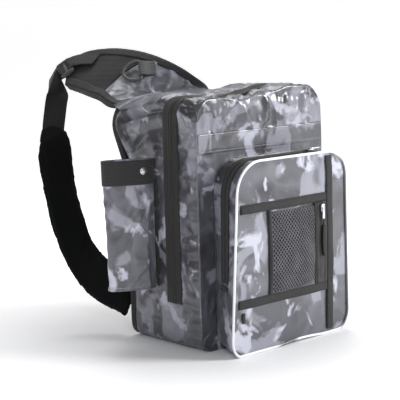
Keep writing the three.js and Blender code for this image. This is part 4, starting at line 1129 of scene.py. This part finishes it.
# %% Front strip
strip_foot, strip_seam, strip_head = 307, 310, 337
strip_rows = []
for r in range(19):
    z = mix(strip_foot, strip_head, r / 18)
    row = []
    for c in range(91):
        x = mix(-135.5, 138.8, c / 90)
        fade = ease((137 - abs(x)) / 8)
        wave = 0.8 * noise.noise(Vector((x / 32, 4.4, z / 45))) * fade
        ridge = 0.9 * math.exp(-(((z - strip_head + 1.5) / 1.6) ** 2))
        dip = 0.5 * math.exp(-(((z - strip_seam) / 1.2) ** 2))
        row.append(Vector((x, front_y - 1.4 - ridge + dip - wave, z)))
    strip_rows.append(row)
front_strip = skin("front_strip_cloth", strip_rows, body_cloth)
thicken(front_strip, 1.0)
hand_over(front_strip, "camo", "front_strip")
foot_places = [Vector((mix(-112, 136, i / 60), front_y - 2.0, strip_seam)) for i in range(61)]
foot_line = [(place, Vector((0, -1, 0))) for place in foot_places]
hand_over(stitch_row("front_strip_stitches", foot_line, pale_thread, 3.2, 2.5, 0.4), "camo")
print("front strip:", len(front_strip.data.polygons), "faces")

# %% [markdown]
# ## The rod sleeve
# A flattened tube, open at both ends, hangs on the left side. A wide band of grained black webbing
# goes round its top, and a snap closes it. The tube is a refined copy. Its folds move both walls the
# same way, away from the tube's middle line, so that the wall keeps its thickness. The hem's stitches
# are found with rays, which run from outside to the tube's middle and stop at its outer wall.

# %% Sleeve
low, high = (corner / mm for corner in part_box("side_sleeve"))
sleeve_axis = (low + high) / 2


def sleeve_folds(place):
    out = Vector((place.x - sleeve_axis.x, place.y - sleeve_axis.y, 0)).normalized()
    free = ease((place.z - 93) / 10) * (1 - ease((place.z - 246) / 12))
    near_body = ease((-place.x - 145) / 12)
    long_fold = 3.2 * (crease(place, 30, 41, (1, 1, 0.16)) - 0.5)
    small = 1.6 * (crease(place, 22, 42, (1, 1, 0.8)) - 0.5)
    return out * (long_fold + small) * free * near_body


sleeve = push(refined("rod_sleeve", "side_sleeve", sleeve_cloth, 4), sleeve_folds)
hand_over(sleeve, "camo", "side_sleeve")
sleeve_top = refined("sleeve_top_band", "sleeve_band", grained_band, 3)
hand_over(sleeve_top, "webbing", "sleeve_band")
hand_over(refined("sleeve_edge_strip", "sleeve_strip", webbing_black, 2), "webbing", "sleeve_strip")
wall = BVHTree.FromPolygons(
    [v.co / mm for v in sleeve.data.vertices],
    [list(face.vertices) for face in sleeve.data.polygons],
)
hem_up = 5
hem_path = []
for i in range(61):
    angle = math.radians(mix(125, 285, i / 60))
    out = Vector((math.cos(angle), math.sin(angle), 0))
    start = Vector((sleeve_axis.x, sleeve_axis.y, low.z + hem_up)) + out * 150
    place, normal, _, _ = wall.ray_cast(start, -out)
    if place is not None:
        hem_path.append((place, normal if normal.dot(out) > 0 else -normal))
hand_over(stitch_row("sleeve_hem_stitches", hem_path, pale_thread, 5, 3.2, 0.4), "camo")
print("sleeve:", len(sleeve.data.polygons), "faces,", len(hem_path), "points on its hem")

# %% [markdown]
# ## The snap
# The snap's cap is a turned part: one outline, from its rim over the ridge to the domed middle,
# goes once round. It sits where the CAD snap sits, and looks the same way as that snap's front face.


# %% Snap
def disc_stack(name, centre, out, profile, material, sides=28):
    """A turned part: profile is a list of (radius, height along out) in mm."""
    out = out.normalized()
    side = out.orthogonal().normalized()
    other = out.cross(side)
    rows = []
    for radius, height in profile:
        middle = centre + out * height
        rows.append([middle + spoke * radius for spoke in spokes(side, other, sides)])
    return skin(name, rows, material, closed=True)


low, high = (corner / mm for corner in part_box("sleeve_snap"))
snap_mesh = cad_nodes["sleeve_snap"].data
snap_face = max(snap_mesh.polygons, key=lambda face: face.area * max(-face.normal.y, 0))
snap_out = snap_face.normal.copy()
snap_seat = (low + high) / 2 - snap_out * 1.1
cap_rim = [(6, 0), (6, 0.8), (5.6, 1.2), (4.9, 1.1)]
cap_profile = cap_rim + [(4.6, 1.5), (3.6, 2.2), (2.2, 2.6), (0.8, 2.75), (0.02, 2.8)]
snap = disc_stack("sleeve_snap_cap", snap_seat, snap_out, cap_profile, bright_nickel)
hand_over(snap, "nickel", "sleeve_snap")
print("snap faces", tuple(round(v, 2) for v in snap_out))

# %% [markdown]
# ## Padded pieces
# The back, the yoke and the sling strap are foam in cloth. To look soft, a pad has to be pushed out
# from inside, so each one is made by a short cloth simulation. A copy of the CAD solid is remeshed
# into small even cells and drawn in a little. Cloth with inner pressure then swells it for twenty
# frames. No point may move further than a set cap, so the pad stays in the space that the CAD solid
# holds.


# %% Pad helper
def inflated(name, node_name, material, cell, draw_in, cap):
    """cell is the remesh's grain, draw_in the way inwards first, cap the furthest way out, in mm."""
    piece = refined(name, node_name, material, 0, join=False)
    remesh = piece.modifiers.new("remesh", "REMESH")
    remesh.mode = "VOXEL"
    remesh.voxel_size = cell * mm
    settle(piece)
    fold(piece, lambda place, index: -draw_in)
    start = [v.co.copy() for v in piece.data.vertices]
    cloth = piece.modifiers.new("cloth", "CLOTH")
    settings = {
        "quality": 5,
        "mass": 0.3,
        "tension_stiffness": 12,
        "compression_stiffness": 12,
        "shear_stiffness": 5,
        "bending_stiffness": 0.4,
        "use_pressure": True,
        "uniform_pressure_force": 4.0,
    }
    for key, value in settings.items():
        setattr(cloth.settings, key, value)
    cloth.settings.effector_weights.gravity = 0
    cloth.collision_settings.use_collision = False
    cloth.point_cache.frame_start = 1
    cloth.point_cache.frame_end = 20
    for frame_number in range(1, 21):
        bpy.context.scene.frame_set(frame_number)
    settle(piece)
    bpy.context.scene.frame_set(1)
    for v, at in zip(piece.data.vertices, start):
        move = v.co - at
        if move.length > cap * mm:
            v.co = at + move.normalized() * cap * mm
    rounding = piece.modifiers.new("rounding", "SUBSURF")
    rounding.levels = 1
    rounding.render_levels = 1
    settle(piece)
    piece.data.materials.clear()
    piece.data.materials.append(material)
    piece.data.polygons.foreach_set("use_smooth", [True] * len(piece.data.polygons))
    print(name, len(piece.data.polygons), "faces")
    return piece


# %% [markdown]
# ## The three pads
# The yoke may swell the least, because its covers and tapes lie close on it. The strap is free on all
# sides and may swell the most.

# %% Pads
back_pad = inflated("back_pad", "back_panel", air_mesh, 5, 1.2, 2.2)
hand_over(back_pad, "air_mesh", "back_panel")
yoke_pad = inflated("yoke_pad", "shoulder_yoke", air_mesh, 4.5, 1.4, 1.6)
hand_over(yoke_pad, "air_mesh", "shoulder_yoke")
strap = inflated("sling_strap_pad", "strap_pad", air_mesh, 4, 1.0, 2.4)
hand_over(strap, "air_mesh", "strap_pad")

# %% [markdown]
# ## The yoke's surface
# The yoke grows out of the panel's left shoulder and bends back over the wearer's own. In the CAD
# model it is ruled between two edges, and each edge is a curve through eight places. The same rule is
# written out here, so that covers, tapes and folds can be laid on it with far finer rows. A place on
# it has two shares: u runs from the root to the tip, and v from the outer edge to the neck.


# %% Yoke surface
loop_reach = 245
panel_y = body_depth / 2 + 0.3
coarse_steps = (4, (6, 12, 7, 5))
# Each row of the yoke: x, reach and height of its outer edge, then the same of its neck edge.
yoke_rows = [
    (-0.8, 0.325, 0.965, 0.235, 0.035, 1.024),
    (-0.78, 0.465, 0.997, 0.06, 0.115, 1.085),
    (-0.76, 0.6, 1.01, -0.08, 0.29, 1.14),
    (-0.73, 0.72, 1.022, -0.12, 0.53, 1.17),
    (-0.71, 0.81, 1.03, -0.15, 0.8, 1.178),
    (-0.695, 0.87, 1.034, -0.29, 0.98, 1.16),
    (-0.69, 0.9, 1.034, -0.45, 1.05, 1.11),
]


def curve_point(points, share):
    """A place on the curve through points, whose steps follow the square root of their distance."""
    last = len(points) - 1
    step = min(int(share * last), last - 1)
    weight = share * last - step
    b, c = points[step], points[step + 1]
    a = points[step - 1] if step > 0 else b * 2 - c
    d = points[step + 2] if step + 2 <= last else c * 2 - b
    t0, t1, t2 = (math.sqrt((q - p).length) for p, q in ((a, b), (b, c), (c, d)))
    start = ((b - a) / t0 - (c - a) / (t0 + t1) + (c - b) / t1) * t1
    end = ((c - b) / t1 - (d - b) / (t1 + t2) + (d - c) / t2) * t1
    w2, w3 = weight**2, weight**3
    places = b * (2 * w3 - 3 * w2 + 1) + c * (3 * w2 - 2 * w3)
    return places + start * (w3 - 2 * w2 + weight) + end * (w3 - w2)


def inset(outline, distance):
    moved = []
    for i, p in enumerate(outline):
        along = (outline[(i + 1) % len(outline)] - outline[i - 1]).normalized()
        moved.append(Vector((p.x + along.y * distance, p.y - along.x * distance)))
    return moved


panel_outline = inset(body_outline(1, coarse_steps), 2.3)
on_shoulder = [p.y > body_height * 0.9 and p.x < half_width * 0.34 for p in panel_outline]
shoulder = [
    Vector((p.x, panel_y + pull_back(p.x, p.y) + 0.6, p.y))
    for p, near in zip(inset(panel_outline, -0.6), on_shoulder)
    if near
]


def yoke_point(u, v):
    line = [curve_point(shoulder, mix(0.03, 0.97, v))]
    for left_x, left_back, left_up, right_x, right_back, right_up in yoke_rows:
        left_y, right_y = panel_y + left_back * loop_reach, panel_y + right_back * loop_reach
        left = Vector((left_x * half_width, left_y, left_up * body_height))
        right = Vector((right_x * half_width, right_y, right_up * body_height))
        line.append(left.lerp(right, v))
    return curve_point(line, u)


def yoke_frame(u, v):
    """The place, with the directions along to the tip, side to the neck and out in front."""
    d = 0.008
    along = (yoke_point(min(u + d, 1), v) - yoke_point(max(u - d, 0), v)).normalized()
    across = yoke_point(u, min(v + d, 1)) - yoke_point(u, max(v - d, 0))
    out = across.cross(along).normalized()
    return yoke_point(u, v), along, along.cross(out).normalized(), out


def patch_edge(v):
    return mix(0.27, 0.46, 1 - (1 - v) ** 3)


print("yoke tip at", tuple(round(c) for c in yoke_point(1, 0.5)))

# %% [markdown]
# ## The yoke's camouflage cover
# The yoke is covered in camouflage cloth near the bag and in ribbed black cloth near its tip. The
# cover is pulled tight between its two edges, so its folds run slantwise across it. A rim that fades
# to nothing keeps all four sides close to the pad.


# %% Yoke cover
def yoke_sheet(name, first, last, lift, material, rows=70, across=60):
    """A sheet on the yoke from the line first(v) to the line last(v), lift(u, v) mm above it."""
    points = []
    for r in range(rows + 1):
        row = []
        for c in range(across + 1):
            v = c / across
            u = mix(first(v), last(v), r / rows)
            at, _, _, out = yoke_frame(u, v)
            row.append(at + out * lift(u, v))
        points.append(row)
    return skin(name, points, material)


def cover_lift(u, v):
    place = yoke_point(u, v)
    rim = ease(min(v, 1 - v) / 0.12) * ease((u - 0.02) / 0.08) * ease((patch_edge(v) - u) / 0.04)
    slant = Vector((place.x + 0.5 * place.y, place.y - 0.5 * place.x, place.z))
    pulled = 2.6 * (crease(slant, 34, 51, (0.35, 1, 0.6)) - 0.4)
    pulled += 1.3 * (crease(place, 18, 52) - 0.4)
    return 1.9 + 0.7 * rim + max(pulled * rim, -0.8)


def cover_root(v):
    return 0.035


def cover_end(v):
    return patch_edge(v) - 0.004


cover = yoke_sheet("yoke_camo_cover", cover_root, cover_end, cover_lift, yoke_cloth)
thicken(cover, 1.2)
hand_over(cover, "camo", "yoke_cover")
print("yoke cover:", len(cover.data.polygons), "faces")

# %% [markdown]
# ## Cloth over the yoke's root
# Between the yoke and the body the real bag shows no joint: the body's cloth runs up onto the yoke. A
# sheet of the same cloth does that here. Each of its columns is a curve with four control points, two
# on the yoke and two on the body, so it leaves both of them smoothly. It shares the crease on the left
# side with the body, and at its outer edge it is drawn out to the binding, so that no gap stays open.


# %% Cloth over the yoke's root
def shoulder_line(share, out):
    """The body's surface below the yoke's root, at a share of its depth and out mm outside it."""
    back = ease((share - 0.5) / 0.5)
    ring = inset(body_outline(share, coarse_steps), -out)
    return [
        Vector((p.x, front_y + share * body_depth + pull_back(p.x, p.y) * back, p.y))
        for p, near in zip(ring, on_shoulder)
        if near
    ]


apron_rows = []
apron_last, apron_low = shoulder_line(0.8, -0.6), shoulder_line(0.88, 3.2)
for r in range(41):
    t = r / 40
    row = []
    for c in range(81):
        v = mix(0, 0.985, c / 80)
        at, _, _, out = yoke_frame(0.12, v)
        a = at + out * 2.6
        share = mix(0, 0.97, v)
        root = curve_point(shoulder, share) + out * 5
        b = curve_point(apron_low, share)
        d = curve_point(apron_last, share)
        point = a * (1 - t) ** 3 + root * 3 * t * (1 - t) ** 2 + b * 3 * t**2 * (1 - t) + d * t**3
        middle = 4 * t * (1 - t)
        point += Vector((-8, 0, -3)) * (1 - ease(v / 0.06)) * middle
        row.append(point + out * 1.8 * middle * (crease(point, 26, 55, (0.4, 1, 0.6)) - 0.3))
    apron_rows.append(row)
apron = skin("yoke_root_cloth", apron_rows, body_cloth, flip=True)
push(apron, lambda place: Vector((-1, 0, 0)) * side_ledge(place))
thicken(apron, 1.0)
hand_over(apron, "camo")
print("root cloth:", len(apron.data.polygons), "faces")

# %% [markdown]
# ## The ribbed patch
# The patch of ribbed cloth near the yoke's tip starts where the cover ends. It lies almost flat, so
# its lift is one height with a faint waver. The ribs themselves are in its material, whose pattern is
# turned so that they run across the yoke.


# %% Yoke patch
def patch_lift(u, v):
    place = yoke_point(u, v)
    tip = ease((1 - u) / 0.03)
    return 1.9 + 0.5 * tip * noise.noise(place / 40)


def patch_end(v):
    return 0.998


patch = yoke_sheet("yoke_ribbed_patch", patch_edge, patch_end, patch_lift, ribbed_patch)
thicken(patch, 1.2)
hand_over(patch, "webbing", "yoke_patch")
print("yoke patch:", len(patch.data.polygons), "faces")

# %% [markdown]
# ## Edge binding
# One tape binds the yoke and the padded back. On the back it is a refined copy of the CAD strip. On
# the yoke it also turns over the front, where it shows as a dark band. Two narrow sheets on
# the cover stand for that turned edge, a little wavy, as sewn binding is.

# %% Binding
edge_tape = refined("edge_tape", "edge_binding", binding_tape, 2)
hand_over(edge_tape, "webbing", "edge_binding")
turned_width = 14


def yoke_width(u):
    return (yoke_point(u, 1) - yoke_point(u, 0)).length


def turned_edge(name, outer_v, towards):
    """A band along one edge of the yoke, turned_width mm wide, with a rounded section."""
    rows = []
    for r in range(111):
        u = mix(0.03, 0.992, r / 110)
        at, _, side, out = yoke_frame(u, outer_v)
        width = turned_width + 1.2 * noise.noise(at / 28)
        row = []
        for c in range(9):
            share = c / 8
            v_point, _, _, v_out = yoke_frame(u, outer_v + towards * share * width / yoke_width(u))
            height = 3.7 - 0.9 * ease((share - 0.86) / 0.14) + 0.5 * noise.noise(at / 12)
            if share == 0:
                row.append(at - side * towards * 2.9 - out * 0.5)
            row.append(v_point + v_out * height - (side * towards * 2.7 if share == 0 else Vector()))
        rows.append(row)
    return skin(name, rows, binding_tape, flip=towards < 0)


for name, outer_v, towards in (("binding_outer_turn", 0, 1), ("binding_neck_turn", 1, -1)):
    band = turned_edge(name, outer_v, towards)
    thicken(band, 0.8)
    hand_over(band, "webbing")
print("binding turned over both edges of the yoke")

# %% [markdown]
# ## Straps and tabs
# These are plain lengths of webbing, so refined copies of the CAD ribbons are enough. Their flat ends
# stay sharp because those edges carry a crease.

# %% Straps and tabs
webbing_pieces = [
    ("strap_band", "strap_webbing", shaded_strap_webbing, 3),
    ("buckle_band", "buckle_webbing", ribbed_patch, 3),
    ("ring_tab", "d_ring_tab", webbing_grey, 3),
    ("zip_end_tab", "pocket_zip_tab", webbing_flat, 2),
    ("name_side_tab", "side_tab", webbing_flat, 2),
]
for name, node_name, material, levels in webbing_pieces:
    hand_over(refined(name, node_name, material, levels), "webbing", node_name)
print("straps and tabs placed")

# %% [markdown]
# ## Hard parts
# The ring and the buckle are moulded grey plastic. The zip sliders are bright nickel, and the net
# pocket's pull is a cord with a rubber grip. All are refined copies: their edges are softened, as
# moulded and cast edges are. A short loop of webbing, the keeper, holds the buckle on the yoke's tip.


# %% Ring, buckle, sliders and grip
def hard_part(name, node_name, material, slot_name, sharp=60):
    hand_over(refined(name, node_name, material, 2, sharp), slot_name, node_name)


hard_part("yoke_ring", "d_ring", grey_plastic, "plastic", 80)
hard_part("strap_buckle", "ladder_buckle", grey_plastic, "plastic")
at, along, side, out = yoke_frame(0.992, 0.72)
keeper_rows = []
for r in range(13):
    angle = r / 12 * math.pi - math.pi / 2
    middle = at + out * 7 + along * (9 * math.sin(angle) + 2) + out * 3.4 * math.cos(angle)
    keeper_rows.append([middle + side * across for across in (-19, -18.4, -9, 0, 9, 18.4, 19)])
keeper = skin("buckle_keeper", keeper_rows, webbing_flat)
thicken(keeper, 1.6)
hand_over(keeper, "webbing")
hard_part("main_slider", "main_zip_slider", bright_nickel, "nickel")
hard_part("pocket_slider", "pocket_zip_slider", bright_nickel, "nickel")
hard_part("net_slider", "mesh_zip_slider", bright_nickel, "nickel")
hard_part("pull_cord", "zip_pull_cord", soft_rubber, "rubber")
hard_part("pull_grip", "zip_pull_grip", soft_rubber, "rubber", 70)
print("hard parts placed")

# %% [markdown]
# ## The net pocket's zip
# This zip is smaller and closes with its teeth outwards. The tape is a flat strip. Its teeth are two
# rows of tiny blocks that mesh down the middle.

# %% Net zip
zip_left, zip_middle, zip_right = 55.2, 67.8, 79.8
net_zip_foot, net_zip_head = 88.4, 217.6
first_tooth, tooth_pitch = 89.5, 1.36
zip_rows = []
for r in range(61):
    z = mix(net_zip_foot, net_zip_head, r / 60)
    row = []
    for k in range(13):
        x = mix(zip_left, zip_right, k / 12)
        edge = min(k, 12 - k) / 12
        swell = 1.2 + 0.35 * math.exp(-(((x - zip_middle) / 3.2) ** 2)) - 0.6 * (1 - ease(edge / 0.08))
        row.append(on_pocket(x, z, swell))
    zip_rows.append(row)
net_zip = skin("net_zip_tape", zip_rows, zip_tape)
thicken(net_zip, 1.0, 1)
hand_over(net_zip, "zip_tape", "mesh_zip")
tooth_points, tooth_faces = [], []
box_faces = [(0, 1, 3, 2), (4, 6, 7, 5), (0, 4, 5, 1), (2, 3, 7, 6), (0, 2, 6, 4), (1, 5, 7, 3)]
for t in range(92):
    z = first_tooth + t * tooth_pitch
    side = 1 if t % 2 else -1
    seat = on_pocket(zip_middle + side * 1.1, z, 1.5)
    start = len(tooth_points)
    for dx in (-1.5, 1.5):
        for dy in (-0.9, 0.2):
            for dz in (-0.45, 0.45):
                tooth_points.append(seat + Vector((dx, dy, dz)))
    tooth_faces += [tuple(start + k for k in face) for face in box_faces]
teeth = mesh_object("net_zip_teeth", tooth_points, tooth_faces, black_plastic, smooth=False)
hand_over(teeth, "zip_tape")
print("net zip:", len(tooth_faces) // 6, "teeth")

# %% [markdown]
# ## The floor
# The bag stands on a pale sheet that curves up behind it, as in a photographer's booth, so there is no
# horizon line. Away from the bag the sheet glows a little, as a lit backdrop does, and so it shows
# nearly white. It isn't part of the bag.

# %% Floor
floor_material, floor_tree, floor_shader = new_material(
    "pale_floor", (0.93, 0.93, 0.94), 0.7, Specular_IOR_Level=0.2
)
floor_noise = noise_pattern(floor_tree, object_place(floor_tree), 3, 2)
floor_tone = add_ramp(floor_tree, floor_noise, [(0.3, (0.92, 0.92, 0.93)), (0.7, (0.94, 0.94, 0.95))])
floor_tree.links.new(floor_tone, floor_shader.inputs["Base Color"])
length = {"operation": "LENGTH"}
from_bag = add_node(floor_tree, "ShaderNodeVectorMath", {"Vector": object_place(floor_tree)}, length)
glow = map_range(floor_tree, from_bag.outputs["Value"], 0.14, 0.8, 0.55)
floor_shader.inputs["Emission Color"].default_value = (1, 1, 1, 1)
floor_tree.links.new(glow, floor_shader.inputs["Emission Strength"])
floor_points = []
away = Vector((-to_back.x, -to_back.y, 0)).normalized()
sideways = Vector((to_right.x, to_right.y, 0)).normalized()
for r in range(41):
    distance = mix(-5000, 6500, r / 40)
    rise = max((distance - 3000) / 3500, 0) ** 2 * 3500
    for across in (-9000, 9000):
        floor_points.append(away * distance + sideways * across + Vector((0, 0, rise)))
floor = mesh_object("floor_sheet", floor_points, grid_faces(41, 2, False), floor_material)
print("floor sheet laid")
